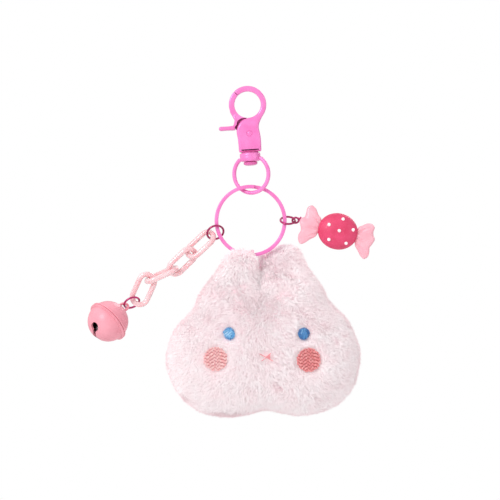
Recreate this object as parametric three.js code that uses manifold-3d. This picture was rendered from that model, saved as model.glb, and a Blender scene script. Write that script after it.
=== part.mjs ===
// Plush keychain: swivel clasp, split ring, soft two-eared plush, acrylic chain with
// a jingle bell and a wrapped-candy charm. Millimetres, +Z up, front faces -Y.
// The origin is the bearing point at the inside top of the clasp hook.
import * as THREE from 'three';
import { mergeVertices } from 'three/addons/utils/BufferGeometryUtils.js';
import Module from 'manifold-3d';

const wasm = await Module();
wasm.setup();

// ---------- driving dimensions ----------
const GAP = 0.3;                 // clearance between neighbouring pieces

const HOOK_X = -0.33;            // centre of the clasp's round hook
const HOOK_Z = -5.5;
const HOOK_R_IN = 5.5;
const HOOK_R_OUT = 7.8;
const HOOK_T = 2.6;              // hook stock, front to back
const SPLIT_ANGLE = 133;         // where hook and gate meet, degrees
const BODY_L = -5.55;            // clasp body block
const BODY_R = 4.35;
const BODY_BOTTOM = -25.2;
const BODY_T = 5.0;
const PIN_X = -0.24;             // gate pivot
const PIN_Z = -17.62;
const PIN_R = 0.8;
const CHEEK_R = 5.6;             // body cheeks are rounded about the pivot
const SLOT_T = 2.3;              // slot that takes the gate root
const ROOT_T = 1.6;
const LEVER_TIP_X = -12.9;
const LEVER_Z = -14.9;
const LEVER_T = 1.7;

const SWIVEL_X = -0.64;          // swivel axis (vertical)
const COLLAR_R = 4.3;
const COLLAR_TOP = -25.6;
const COLLAR_BOTTOM = -29.2;
const RIVET_R = 1.2;
const RIVET_HEAD_R = 2.9;
const EYE_Z = -34.4;             // eye loop below the collar
const EYE_R = 7.85;              // centreline radius
const EYE_WIRE = 0.9;
const EYE_TURN = -25;            // eye plane turned about +Z, degrees

const RING_X = -2.18;            // split ring
const RING_Z = -53.87;
const RING_R_OUT = 15.0;
const RING_BAND = 1.5;           // radial
const RING_TURN_T = 0.9;         // axial, each of the two turns
const RING_GAP = 0.2;            // between the turns
const RING_TURN = 4;             // ring plane turned about +Z, degrees

const CHAIN_JUMP_R = 3.5;        // jump rings, centreline radius
const BELL_JUMP_R = 3.3;
const CANDY_JUMP_R = 3.05;
const JUMP_WIRE = 0.42;
const CHAIN_JUMP_IN = 1.5;       // jump ring wire sits this far inside the split ring band
const CANDY_JUMP_IN = 1.0;
const CHAIN_JUMP_TILT = 50;      // jump ring turned about its own pull, 90 is face on
const BELL_JUMP_TILT = 36;
const CANDY_JUMP_TILT = 30;

const LINK_L = 15.6;             // acrylic chain link
const LINK_W = 8.8;
const LINK_STOCK = 1.2;          // radius
const LINK_DIP = [39, 40, 20, 62];     // degrees below horizontal, heading left
const LINK_TWIST = [40, -35, 78, 0];   // turn of each link about its own length
const LINK_LEAN = [39, 33, 62];        // direction in which each link pulls on the one before
const CHAIN_ANGLE = 194.5;       // where the chain leaves the split ring

const BELL_R = 8.4;
const BELL_WALL = 0.8;
const BELL_FLANGE = 0.7;
const BELL_AXIS_UP = 39.3;       // bell axis above +X, degrees
const BELL_AXIS_BACK = 27;       // and leaning back
const BELL_EYELET = 1.9;         // centreline radius of the bell's loop
const SLOT_W = 1.2;
const SLOT_SPAN = 26;            // keyhole slot, degrees either side of the pole

const CANDY_ANGLE = -3;          // where the candy hangs on the split ring
const CANDY_X = 33.8;
const CANDY_Z = -60.6;
const CANDY_DIP = 17.7;          // long axis below horizontal, heading right
const CANDY_A = 8.4;             // disc semi-axes: along, through, across
const CANDY_B = 4.4;
const CANDY_C = 7.6;
const WING_END = 16.2;
const WING_ROOT_H = 3.2;
const WING_TIP_H = 6.6;
const WING_T = 1.1;
const PLEATS = 3;

const PLUSH_X = -0.3;            // plush centre
const PLUSH_Z = -104;
const PLUSH_T = 16.5;            // half thickness at the belly
const EAR_T = 4.6;               // half thickness at the ears
const EAR_SHIFT = 6.0;           // left ear sits forward, right ear back
const NOTCH = [-2.2, -74.0];     // between the ears
const SIDE_RIGHT = [[23.4, -77.5], [26.6, -84], [30.2, -90.5], [36.1, -97.5], [38.9, -104.5],
  [40.5, -111], [39.5, -118.5], [37, -125.5], [32, -131.4], [24, -135.1], [13, -136.5]];
const SIDE_LEFT = [[21.0, -77.5], [24.9, -84], [30.3, -90.5], [37.1, -97.5], [40.1, -104.5],
  [41.3, -111], [39.6, -118.5], [36.4, -125.0], [31.4, -130.4], [23.8, -133.9], [13, -135.4]];
const FOOT_DIP = [0, -134.2];
const EAR_RIGHT = [[-0.9, -73.2], [0.9, -68.6], [6.3, -64.5], [12.6, -64.8], [18.2, -67.2], [21.2, -72.6]];
const EAR_LEFT = [[-17.8, -72.6], [-14.6, -68.4], [-11.8, -65.0], [-7.6, -64.0], [-5.0, -68.4],
  [-3.5, -73.2]];
const FABRIC = 2.4;

// ---------- materials ----------
function mat(color, roughness, metalness) {
  return new THREE.MeshStandardMaterial({ color, roughness, metalness });
}
const enamel = mat('#f08fc8', 0.28, 0.35);
const enamelDark = mat('#d9609f', 0.35, 0.35);
const wireDark = mat('#a8285f', 0.3, 0.6);
const steel = mat('#c9b6bd', 0.3, 0.9);
const acrylic = mat('#f6c0c6', 0.12, 0.0);
const bellPaint = mat('#f5a0ae', 0.25, 0.45);
const candyRed = mat('#f5557f', 0.18, 0.0);
const candyPale = mat('#ffb9c8', 0.2, 0.0);
const pearl = mat('#fdf3f4', 0.25, 0.0);
const fur = mat('#f6e2e8', 0.95, 0.0);
const filling = mat('#f4efec', 1.0, 0.0);
const ribbon = mat('#f3cdd8', 0.8, 0.0);
const eyeBlueL = mat('#4a9ad8', 0.45, 0.0);
const eyeBlueR = mat('#2f78c0', 0.45, 0.0);
const blushL = mat('#f59a98', 0.85, 0.0);
const blushR = mat('#ee7477', 0.85, 0.0);

// ---------- helpers ----------
const rad = THREE.MathUtils.degToRad;
const V = (x, y, z) => new THREE.Vector3(x, y, z);
const group = new THREE.Group();
group.name = 'plush_keychain';

function signedVolume(pos, idx) {
  let v = 0;
  const a = V(0, 0, 0);
  const b = V(0, 0, 0);
  const c = V(0, 0, 0);
  for (let i = 0; i < idx.length; i += 3) {
    a.fromArray(pos, idx[i] * 3);
    b.fromArray(pos, idx[i + 1] * 3);
    c.fromArray(pos, idx[i + 2] * 3);
    v += a.dot(b.clone().cross(c)) / 6;
  }
  return v;
}

function solid(pos, idx) {
  if (signedVolume(pos, idx) < 0) {
    for (let i = 0; i < idx.length; i += 3) {
      const t = idx[i];
      idx[i] = idx[i + 1];
      idx[i + 1] = t;
    }
  }
  const g = new THREE.BufferGeometry();
  g.setAttribute('position', new THREE.Float32BufferAttribute(pos, 3));
  g.setIndex(idx);
  return g;
}

// Skin a stack of equal-sized rings. closed joins last to first; otherwise both
// ends are capped with a fan to capA / capB (default: the ring's middle).
function loft(rings, closed, capA, capB) {
  const n = rings[0].length;
  const m = rings.length;
  const pos = [];
  const idx = [];
  for (const ring of rings) for (const p of ring) pos.push(p.x, p.y, p.z);
  const last = closed ? m : m - 1;
  for (let i = 0; i < last; i++) {
    for (let j = 0; j < n; j++) {
      const a = i * n + j;
      const b = i * n + (j + 1) % n;
      const c = ((i + 1) % m) * n + (j + 1) % n;
      const d = ((i + 1) % m) * n + j;
      idx.push(a, b, c, a, c, d);
    }
  }
  if (!closed) {
    const mid = (ring) => ring.reduce((s, p) => s.add(p), V(0, 0, 0)).divideScalar(n);
    const ends = [[0, capA || mid(rings[0])], [m - 1, capB || mid(rings[m - 1])]];
    for (const [r, p] of ends) {
      const k = pos.length / 3;
      pos.push(p.x, p.y, p.z);
      for (let j = 0; j < n; j++) {
        const a = r * n + j;
        const b = r * n + (j + 1) % n;
        if (r === 0) idx.push(k, b, a);
        else idx.push(k, a, b);
      }
    }
  }
  return solid(pos, idx);
}

// Wire or band: section points (s along side, u along up) swept on frames.
function sweep(frames, section, closed) {
  const rings = frames.map((f) => section.map(([s, u]) => f.p.clone()
    .addScaledVector(f.side, s).addScaledVector(f.up, u)));
  return loft(rings, closed);
}

function round(r, n) {
  const out = [];
  for (let i = 0; i < n; i++) {
    const a = (i + 0.5) / n * 2 * Math.PI;
    out.push([r * Math.cos(a), r * Math.sin(a)]);
  }
  return out;
}

// Torus about a centre with any normal.
function hoop(centre, normal, R, r, segs, sides) {
  const n = normal.clone().normalize();
  const ref = Math.abs(n.z) > 0.9 ? V(1, 0, 0) : V(0, 0, 1);
  const e1 = ref.clone().cross(n).normalize();
  const e2 = n.clone().cross(e1);
  const frames = [];
  for (let i = 0; i < segs; i++) {
    const a = i / segs * 2 * Math.PI;
    const side = e1.clone().multiplyScalar(Math.cos(a)).addScaledVector(e2, Math.sin(a));
    frames.push({ p: centre.clone().addScaledVector(side, R), side, up: n });
  }
  return sweep(frames, round(r, sides), true);
}

function cylinder(a, b, r, n) {
  const d = b.clone().sub(a).normalize();
  const ref = Math.abs(d.z) > 0.9 ? V(1, 0, 0) : V(0, 0, 1);
  const side = ref.clone().cross(d).normalize();
  const up = d.clone().cross(side);
  return sweep([{ p: a, side, up }, { p: b, side, up }], round(r, n), false);
}

function box(x0, x1, y0, y1, z0, z1) {
  const g = new THREE.BoxGeometry(x1 - x0, y1 - y0, z1 - z0);
  g.translate((x0 + x1) / 2, (y0 + y1) / 2, (z0 + z1) / 2);
  return g;
}

// Plate drawn in X-Z, centred on Y = 0, with softened edges.
function plate(points, thick, bevel) {
  const shape = new THREE.Shape(points.map(([x, z]) => new THREE.Vector2(x, z)));
  const g = new THREE.ExtrudeGeometry(shape, {
    depth: thick - 2 * bevel,
    bevelEnabled: bevel > 0,
    bevelThickness: bevel,
    bevelSize: bevel,
    bevelOffset: -bevel,
    bevelSegments: 1,
    steps: 1,
  });
  g.translate(0, 0, -(thick - 2 * bevel) / 2);
  g.rotateX(Math.PI / 2);
  return g;
}

function sector(cx, cz, r0, r1, a0, a1, n) {
  const pts = [];
  for (let i = 0; i <= n; i++) {
    const a = rad(a0 + (a1 - a0) * i / n);
    pts.push([cx + r1 * Math.cos(a), cz + r1 * Math.sin(a)]);
  }
  for (let i = n; i >= 0; i--) {
    const a = rad(a0 + (a1 - a0) * i / n);
    pts.push([cx + r0 * Math.cos(a), cz + r0 * Math.sin(a)]);
  }
  return pts;
}

function toManifold(geometry) {
  const g = geometry.index ? geometry.clone() : geometry.clone();
  g.deleteAttribute('normal');
  g.deleteAttribute('uv');
  const m = mergeVertices(g, 1e-4);
  const idx = m.index.array;
  const pos = m.attributes.position.array;
  const tri = Array.from(idx);
  const solidGeo = solid(Array.from(pos), tri);
  return new wasm.Manifold(new wasm.Mesh({
    numProp: 3,
    vertProperties: new Float32Array(solidGeo.attributes.position.array),
    triVerts: new Uint32Array(solidGeo.index.array),
  }));
}

function fromManifold(man) {
  const m = man.getMesh();
  const pos = [];
  for (let i = 0; i < m.vertProperties.length; i += m.numProp) {
    pos.push(m.vertProperties[i], m.vertProperties[i + 1], m.vertProperties[i + 2]);
  }
  return solid(pos, Array.from(m.triVerts));
}

function join(...parts) {
  return parts.map(toManifold).reduce((a, b) => a.add(b));
}

function add(name, geometry, material) {
  const mesh = new THREE.Mesh(geometry, material);
  mesh.name = name;
  group.add(mesh);
  return mesh;
}

// ---------- clasp ----------
const pinFront = V(PIN_X, -BODY_T / 2 - 0.35, PIN_Z);
const pinBack = V(PIN_X, BODY_T / 2 + 0.35, PIN_Z);

function disc(cx, cz, r, n) {
  return sector(cx, cz, 0.001, r, 0, 359.9, n).slice(0, n);
}

const hookArc = plate(sector(HOOK_X, HOOK_Z, HOOK_R_IN, HOOK_R_OUT, -72, SPLIT_ANGLE, 22), HOOK_T, 0.5);
const bodyBlock = plate([[BODY_L, PIN_Z - 1], [BODY_L, BODY_BOTTOM + 0.8], [BODY_L + 0.8, BODY_BOTTOM],
  [BODY_R - 0.8, BODY_BOTTOM], [BODY_R, BODY_BOTTOM + 0.8], [BODY_R, -18.2], [BODY_R - 0.55, -15.6],
  [BODY_R - 0.45, -13.4], [BODY_R + 0.6, -11.2], [2.0, -11.4], [0.4, -11.9], [PIN_X, PIN_Z + CHEEK_R - 0.4],
  [PIN_X - 3.2, PIN_Z + 3.8]], BODY_T, 0.5);
const cheekDisc = plate(disc(PIN_X, PIN_Z, CHEEK_R, 28), BODY_T, 0.5);
const slotBox = box(-9, PIN_X, -SLOT_T / 2, SLOT_T / 2, PIN_Z - 3.85, -9.5);
const slotRound = cylinder(V(PIN_X, -SLOT_T / 2, PIN_Z), V(PIN_X, SLOT_T / 2, PIN_Z), 3.5, 20);
const pinHole = cylinder(pinFront.clone().add(V(0, -1, 0)), pinBack.clone().add(V(0, 1, 0)), PIN_R + GAP, 12);
const rivetBore = cylinder(V(SWIVEL_X, 0, BODY_BOTTOM - 1), V(SWIVEL_X, 0, BODY_BOTTOM + 3.2),
  RIVET_R + GAP, 14);
const trimLeft = box(-12, BODY_L, -6, 6, -30, -8);
const clasp = join(hookArc, bodyBlock, cheekDisc)
  .subtract(toManifold(trimLeft))
  .subtract(join(slotBox, slotRound))
  .subtract(toManifold(pinHole))
  .subtract(toManifold(rivetBore));
add('clasp_body', fromManifold(clasp), enamel);

const gateArc = plate(sector(HOOK_X, HOOK_Z, HOOK_R_IN, HOOK_R_OUT, SPLIT_ANGLE + 3, 258, 14), HOOK_T, 0.5);
const gateFoot = plate([[-7.75, -8.2], [-7.2, -10.8], [-7.0, -14.2], [-6.4, -15.9], [-5.2, -15.9],
  [-3.2, -12.6], [-1.6, -11.0], [-4.2, -10.4]], HOOK_T, 0.4);
const gateRoot = plate([[-1.0, -11.2], [-4.6, -12.2], [-6.6, -14.2], [-6.2, -15.8], [-2.4, -17.6],
  [0.4, -16.4], [-0.6, -14.8]], ROOT_T, 0);
const gateHub = cylinder(V(PIN_X, -ROOT_T / 2, PIN_Z), V(PIN_X, ROOT_T / 2, PIN_Z), 3.0, 20);
const lever = plate([[-6.2, LEVER_Z - LEVER_T / 2], [LEVER_TIP_X + 0.7, LEVER_Z - LEVER_T / 2 + 0.3],
  [LEVER_TIP_X, LEVER_Z + 0.3], [LEVER_TIP_X + 0.5, LEVER_Z + LEVER_T / 2 + 0.2],
  [-8.0, LEVER_Z + LEVER_T / 2], [-6.6, LEVER_Z + LEVER_T / 2 + 0.7]], 3.2, 0.4);
const cheekClear = cylinder(V(PIN_X, -4, PIN_Z), V(PIN_X, 4, PIN_Z), CHEEK_R + GAP + 0.1, 28);
const gate = join(gateArc, gateFoot, lever)
  .subtract(toManifold(cheekClear))
  .add(join(gateRoot, gateHub))
  .subtract(toManifold(pinHole));
add('clasp_gate', fromManifold(gate), enamel);

const pinHeadF = cylinder(V(PIN_X, -BODY_T / 2 - 0.55, PIN_Z), V(PIN_X, -BODY_T / 2 - 0.25, PIN_Z), 1.35, 14);
const pinHeadB = cylinder(V(PIN_X, BODY_T / 2 + 0.25, PIN_Z), V(PIN_X, BODY_T / 2 + 0.55, PIN_Z), 1.35, 14);
add('gate_pin', fromManifold(join(cylinder(pinFront, pinBack, PIN_R, 14), pinHeadF, pinHeadB)), enamelDark);

// leaf spring standing in the slot between the gate hub and the slot's floor
const springFrames = [];
for (let i = 0; i <= 2; i++) {
  const t = i / 2;
  springFrames.push({
    p: V(-4.9 + 4.0 * t, 0, PIN_Z - 3.42),
    side: V(0, 1, 0),
    up: V(0, 0, 1),
  });
}
add('gate_spring', sweep(springFrames, [[-0.8, -0.1], [0.8, -0.1], [0.8, 0.1], [-0.8, 0.1]], false), steel);

// rivet: shank up inside the body, head inside the eye
const rivetHeadProfile = [[RIVET_R, COLLAR_BOTTOM - 0.35], [RIVET_HEAD_R, COLLAR_BOTTOM - 0.35],
  [RIVET_HEAD_R, COLLAR_BOTTOM - 0.9], [RIVET_HEAD_R * 0.75, COLLAR_BOTTOM - 1.5],
  [0, COLLAR_BOTTOM - 1.75]];
const rivetProfile = [[0, BODY_BOTTOM + 2.8], [RIVET_R, BODY_BOTTOM + 2.8], ...rivetHeadProfile];
const rivetGeo = new THREE.LatheGeometry(rivetProfile.map(([r, z]) => new THREE.Vector2(r, z)), 16);
rivetGeo.rotateX(Math.PI / 2);
rivetGeo.translate(SWIVEL_X, 0, 0);
add('swivel_rivet', fromManifold(toManifold(rivetGeo)), enamelDark);

// ---------- swivel eye ----------
const collarProfile = [[RIVET_R + GAP, COLLAR_BOTTOM], [RIVET_R + GAP, COLLAR_TOP], [COLLAR_R - 0.5, COLLAR_TOP],
  [COLLAR_R, COLLAR_TOP - 0.5], [COLLAR_R, COLLAR_BOTTOM + 0.7], [COLLAR_R - 0.7, COLLAR_BOTTOM],
  [RIVET_R + GAP, COLLAR_BOTTOM]];
const collar = new THREE.LatheGeometry(collarProfile.map(([r, z]) => new THREE.Vector2(r, z)), 20);
collar.rotateX(Math.PI / 2);
collar.translate(SWIVEL_X, 0, 0);
const eyeNormal = V(-Math.sin(rad(EYE_TURN)), Math.cos(rad(EYE_TURN)), 0);
const eyeHoop = hoop(V(SWIVEL_X, 0, EYE_Z), eyeNormal, EYE_R, EYE_WIRE, 36, 8);
const eyeBore = cylinder(V(SWIVEL_X, 0, COLLAR_TOP + 1), V(SWIVEL_X, 0, COLLAR_BOTTOM - 2), RIVET_R + GAP, 20);
const eye = join(collar, eyeHoop).subtract(toManifold(eyeBore));
add('swivel_eye', fromManifold(eye), enamel);

// ---------- split ring: two turns of flat wire ----------
const ringSide = V(Math.cos(rad(RING_TURN)), Math.sin(rad(RING_TURN)), 0);
const ringAxis = V(-Math.sin(rad(RING_TURN)), Math.cos(rad(RING_TURN)), 0);
const ringCentre = V(RING_X, 0, RING_Z);
const RING_MID = RING_R_OUT - RING_BAND / 2;
function ringRadial(deg) {
  return ringSide.clone().multiplyScalar(Math.cos(rad(deg))).add(V(0, 0, Math.sin(rad(deg))));
}
const bandFrames = [];
const BAND_STEPS = 96;
const BAND_START = 66;           // wire ends near the upper right of the ring
const half = (RING_TURN_T + RING_GAP) / 2;
for (let i = 0; i <= BAND_STEPS; i++) {
  const a = 15 + (705 - 15) * i / BAND_STEPS;
  const t = THREE.MathUtils.smoothstep(a, 351, 369);
  const side = ringRadial(BAND_START + a);
  const p = ringCentre.clone().addScaledVector(side, RING_MID).addScaledVector(ringAxis, half * (2 * t - 1));
  bandFrames.push({ p, side, up: ringAxis });
}
const bh = RING_BAND / 2;
const th = RING_TURN_T / 2;
add('key_ring', sweep(bandFrames, [[-bh, -th], [bh * 0.75, -th], [bh, 0], [bh * 0.75, th], [-bh, th]], false),
  enamel);

// ---------- jump rings ----------
// turned about the pull direction so that they show at a slant
function jumpRing(name, start, dir, radius, tilt, material) {
  const d = dir.clone().normalize();
  const across = d.clone().cross(V(0, 1, 0)).normalize();
  const lean = V(0, 1, 0).applyAxisAngle(d, rad(tilt));
  const normal = across.clone().applyAxisAngle(d, rad(tilt));
  const centre = start.clone().addScaledVector(d, radius);
  add(name, hoop(centre, normal, radius, JUMP_WIRE, 26, 6), material);
  return { centre, far: centre.clone().addScaledVector(d, radius), normal, lean };
}
const chainDir = ringRadial(CHAIN_ANGLE);
const chainStart = ringCentre.clone().addScaledVector(chainDir, RING_R_OUT - RING_BAND - CHAIN_JUMP_IN);
const chainJump = jumpRing('chain_jump_ring', chainStart, chainDir, CHAIN_JUMP_R, CHAIN_JUMP_TILT, wireDark);

// ---------- acrylic chain ----------
const LINK_HALF = LINK_L / 2 - LINK_STOCK;
const LINK_BEND = LINK_W / 2 - LINK_STOCK;
function link(name, start, dip, twist) {
  const u = V(-Math.cos(rad(dip)), 0, -Math.sin(rad(dip)));
  const n = V(0, 1, 0).applyAxisAngle(u, rad(twist));
  const w = n.clone().cross(u).normalize();
  const c = start.clone().addScaledVector(u, LINK_HALF);
  const straight = LINK_HALF - LINK_BEND;
  const frames = [];
  for (let i = 0; i < 24; i++) {
    const a = i / 24 * 2 * Math.PI;
    const side = u.clone().multiplyScalar(Math.cos(a)).addScaledVector(w, Math.sin(a));
    const shift = Math.sign(Math.cos(a + 1e-6)) * straight;
    frames.push({ p: c.clone().addScaledVector(u, shift).addScaledVector(side, LINK_BEND), side, up: n });
  }
  add(name, sweep(frames, round(LINK_STOCK, 7), true), acrylic);
  return { u, n, w, c, end: c.clone().addScaledVector(u, LINK_HALF) };
}
const links = [];
let nextStart = chainJump.far.clone().addScaledVector(chainDir, -(JUMP_WIRE + LINK_STOCK + GAP + 0.15));
for (let i = 0; i < LINK_DIP.length; i++) {
  const k = link('chain_link_' + (i + 1), nextStart, LINK_DIP[i], LINK_TWIST[i]);
  links.push(k);
  if (i + 1 < LINK_DIP.length) {
    const m = rad(LINK_LEAN[i]);
    nextStart = k.end.clone().add(V(Math.cos(m), 0, Math.sin(m)).multiplyScalar(2 * LINK_STOCK + GAP + 0.1));
  }
}

// ---------- bell ----------
const lastLink = links[3];
const bellJumpStart = lastLink.end.clone().addScaledVector(lastLink.u, -(LINK_STOCK + JUMP_WIRE + GAP + 0.2));
const bellJumpDir = V(-0.93, 0.0, -0.37);
const bellJump = jumpRing('bell_jump_ring', bellJumpStart, bellJumpDir, BELL_JUMP_R, BELL_JUMP_TILT, wireDark);
const bellAxis = V(Math.cos(rad(BELL_AXIS_UP)) * Math.cos(rad(BELL_AXIS_BACK)), Math.sin(rad(BELL_AXIS_BACK)),
  Math.sin(rad(BELL_AXIS_UP)) * Math.cos(rad(BELL_AXIS_BACK)));
const slotDirRaw = V(0, 0.72, -0.69);
const bellSide = slotDirRaw.clone().addScaledVector(bellAxis, -slotDirRaw.dot(bellAxis)).normalize();
const bellThird = bellAxis.clone().cross(bellSide).normalize();
const bellFrame = new THREE.Matrix4();

// the eyelet's wire hangs inside the far end of the jump ring
const eyeletWire = 0.55;
const jumpWireDir = bellJump.normal.clone().cross(bellJumpDir).normalize();
const eyeletNormal = jumpWireDir.clone().addScaledVector(bellAxis, -jumpWireDir.dot(bellAxis)).normalize();
const eyeletTop = bellJump.far.clone().addScaledVector(bellAxis, JUMP_WIRE + eyeletWire + GAP);
const eyeletCentre = eyeletTop.clone().addScaledVector(bellAxis, -BELL_EYELET);
const bellCentre = eyeletCentre.clone().addScaledVector(bellAxis, -(BELL_R + 1.2));
bellFrame.makeBasis(bellSide, bellThird, bellAxis);
bellFrame.setPosition(bellCentre);

function bellShell(sign) {
  const pts = [];
  const n = 6;
  for (let i = 0; i <= n; i++) {
    const a = i / n * Math.PI / 2;
    pts.push([BELL_R * Math.sin(a), sign * (0.15 + (BELL_R - 0.15) * Math.cos(a))]);
  }
  pts[n] = [BELL_R, sign * 0.75];
  pts.push([BELL_R + BELL_FLANGE, sign * 0.75]);
  pts.push([BELL_R + BELL_FLANGE, sign * 0.15]);
  const ri = BELL_R - BELL_WALL;
  for (let i = n; i >= 0; i--) {
    const a = i / n * Math.PI / 2;
    pts.push([ri * Math.sin(a), sign * (0.15 + (ri - 0.15) * Math.cos(a))]);
  }
  pts[pts.length - 1][0] = 0;
  pts[0][0] = 0;
  const g = new THREE.LatheGeometry(pts.map(([r, z]) => new THREE.Vector2(r, z)), 20);
  g.rotateX(Math.PI / 2);
  return g;
}
const localEyeletNormal = eyeletNormal.clone().transformDirection(bellFrame.clone().invert());
const eyeletTurned = hoop(V(0, 0, BELL_R + 1.2), localEyeletNormal, BELL_EYELET, eyeletWire, 18, 7);
const innerBall = new THREE.SphereGeometry(BELL_R - BELL_WALL / 2, 20, 12);
const capGeo = fromManifold(toManifold(bellShell(1))
  .add(toManifold(eyeletTurned).subtract(toManifold(innerBall))));
capGeo.applyMatrix4(bellFrame);
add('bell_cap', capGeo, bellPaint);

const slotReach = (BELL_R - 0.4) * Math.sin(rad(SLOT_SPAN));
const slotCut = join(box(-slotReach, slotReach, -SLOT_W / 2, SLOT_W / 2, -BELL_R - 2, -4),
  cylinder(V(-slotReach, 0, -BELL_R - 2), V(-slotReach, 0, -4), 1.4, 18),
  cylinder(V(slotReach, 0, -BELL_R - 2), V(slotReach, 0, -4), 1.4, 18));
const cupGeo = fromManifold(toManifold(bellShell(-1)).subtract(slotCut));
cupGeo.applyMatrix4(bellFrame);
add('bell_cup', cupGeo, bellPaint);

const pellet = new THREE.IcosahedronGeometry(2.3, 1);
pellet.deleteAttribute('normal');
pellet.deleteAttribute('uv');
const pelletGeo = mergeVertices(pellet, 1e-4);
pelletGeo.translate(0, 0, -4.4);
pelletGeo.applyMatrix4(bellFrame);
add('bell_pellet', pelletGeo, steel);

// ---------- candy ----------
const candyDir = ringRadial(CANDY_ANGLE);
const candyStart = ringCentre.clone().addScaledVector(candyDir, RING_R_OUT - RING_BAND - CANDY_JUMP_IN);
const candyJump = jumpRing('candy_jump_ring', candyStart, candyDir, CANDY_JUMP_R, CANDY_JUMP_TILT, wireDark);
const candyAxis = V(Math.cos(rad(CANDY_DIP)), 0, -Math.sin(rad(CANDY_DIP)));
const candyUp = V(Math.sin(rad(CANDY_DIP)), 0, Math.cos(rad(CANDY_DIP)));
const candyFrame = new THREE.Matrix4().makeBasis(candyAxis, V(0, 1, 0), candyUp);
candyFrame.setPosition(V(CANDY_X, 0, CANDY_Z));

function candySection(rho, nAround, k) {
  // pillow disc: rings at fraction rho of the rim, k = -1 front, +1 back
  const ring = [];
  for (let i = 0; i < nAround; i++) {
    const a = i / nAround * 2 * Math.PI;
    const y = k * CANDY_B * Math.pow(Math.max(0, 1 - Math.pow(rho, 2.6)), 0.55);
    ring.push(V(CANDY_A * rho * Math.cos(a), y, CANDY_C * rho * Math.sin(a)));
  }
  return ring;
}
const discRings = [];
for (const r of [0.4, 0.75, 0.93]) discRings.push(candySection(r, 26, -1));
discRings.push(candySection(1, 26, 1));
for (const r of [0.93, 0.75, 0.4]) discRings.push(candySection(r, 26, 1));
const discGeo = loft(discRings, false, V(0, -CANDY_B, 0), V(0, CANDY_B, 0));
discGeo.applyMatrix4(candyFrame);
add('candy_disc', discGeo, candyRed);

function candyWing(sign) {
  const rings = [];
  const n = 18;
  const steps = 4;
  for (let k = 0; k <= steps; k++) {
    const s = k / steps;
    const front = [];
    const back = [];
    for (let i = 0; i <= n; i++) {
      const t = -1 + 2 * i / n;
      const h = WING_ROOT_H + (WING_TIP_H - WING_ROOT_H) * Math.pow(s, 0.8);
      const z = h * t;
      const rootX = (CANDY_A + GAP + 0.05) * Math.sqrt(1 - Math.pow(WING_ROOT_H * t / (CANDY_C + GAP), 2));
      const tipX = WING_END - 1.3 * Math.exp(-Math.pow(t / 0.35, 2)) - 0.7 * t * t;
      const x = sign * (rootX + (tipX - rootX) * s);
      const wave = (0.35 + 1.25 * s) * Math.cos(PLEATS * Math.PI * t);
      front.push(V(x, wave - WING_T / 2, z));
      back.push(V(x, wave + WING_T / 2, z));
    }
    rings.push(front.concat(back.reverse()));
  }
  // caps as strips so that they follow the pleats
  const m = rings[0].length;
  const pos = [];
  const idx = [];
  for (const ring of rings) for (const p of ring) pos.push(p.x, p.y, p.z);
  for (let i = 0; i < steps; i++) {
    for (let j = 0; j < m; j++) {
      const a = i * m + j;
      const b = i * m + (j + 1) % m;
      idx.push(a, b, b + m, a, b + m, a + m);
    }
  }
  for (let j = 0; j < n; j++) {
    const o = steps * m;
    const a = j;
    const b = j + 1;
    const c = m - 2 - j;
    const d = m - 1 - j;
    idx.push(b, a, d, b, d, c);
    idx.push(o + a, o + b, o + c, o + a, o + c, o + d);
  }
  const g = solid(pos, idx);
  g.applyMatrix4(candyFrame);
  return g;
}
add('candy_wing_left', candyWing(-1), candyPale);
add('candy_wing_right', candyWing(1), candyPale);

function discFront(x, z) {
  const rho = Math.min(1, Math.hypot(x / CANDY_A, z / CANDY_C));
  return -CANDY_B * Math.pow(Math.max(0, 1 - Math.pow(rho, 2.6)), 0.55);
}
const dotSpots = [[0.4, 0.35], [-4.3, 1.8], [0.8, 5.4], [5.9, 2.1], [-2.9, -4.2], [4.4, -4.0]];
dotSpots.forEach(([x, z], i) => {
  const y = discFront(x, z);
  const e = 0.2;
  const nx = (discFront(x + e, z) - discFront(x - e, z)) / (2 * e);
  const nz = (discFront(x, z + e) - discFront(x, z - e)) / (2 * e);
  const n = V(nx, -1, nz).normalize();
  const rings = [];
  const side = V(1, 0, 0).addScaledVector(n, -n.x).normalize();
  const up = n.clone().cross(side);
  const base = V(x, y, z).addScaledVector(n, GAP + 0.03);
  for (const [r, h] of [[0.85, 0], [0.7, 0.4]]) {
    rings.push(round(r, 10).map(([a, b]) => base.clone().addScaledVector(side, a)
      .addScaledVector(up, b).addScaledVector(n, h)));
  }
  const g = loft(rings, false, base, base.clone().addScaledVector(n, 0.6));
  g.applyMatrix4(candyFrame);
  add('candy_dot_' + (i + 1), g, pearl);
});

// screw eye: wire inside the jump ring, stem pointing into the wing's corner
const screwWire = 0.4;
const screwR = 1.3;
const screwLeft = candyJump.far.clone().addScaledVector(candyDir, -(JUMP_WIRE + screwWire + GAP));
const screwCentre = screwLeft.clone().addScaledVector(candyDir, screwR);
const screwNormal = candyJump.normal.clone().cross(candyDir).normalize();
const stemEnd = screwCentre.clone().addScaledVector(candyDir, screwR + 1.0);
const screwGeo = fromManifold(join(hoop(screwCentre, screwNormal, screwR, screwWire, 18, 6),
  cylinder(screwCentre.clone().addScaledVector(candyDir, screwR - 0.1), stemEnd, 0.55, 12)));
add('candy_screw_eye', screwGeo, wireDark);

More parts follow.
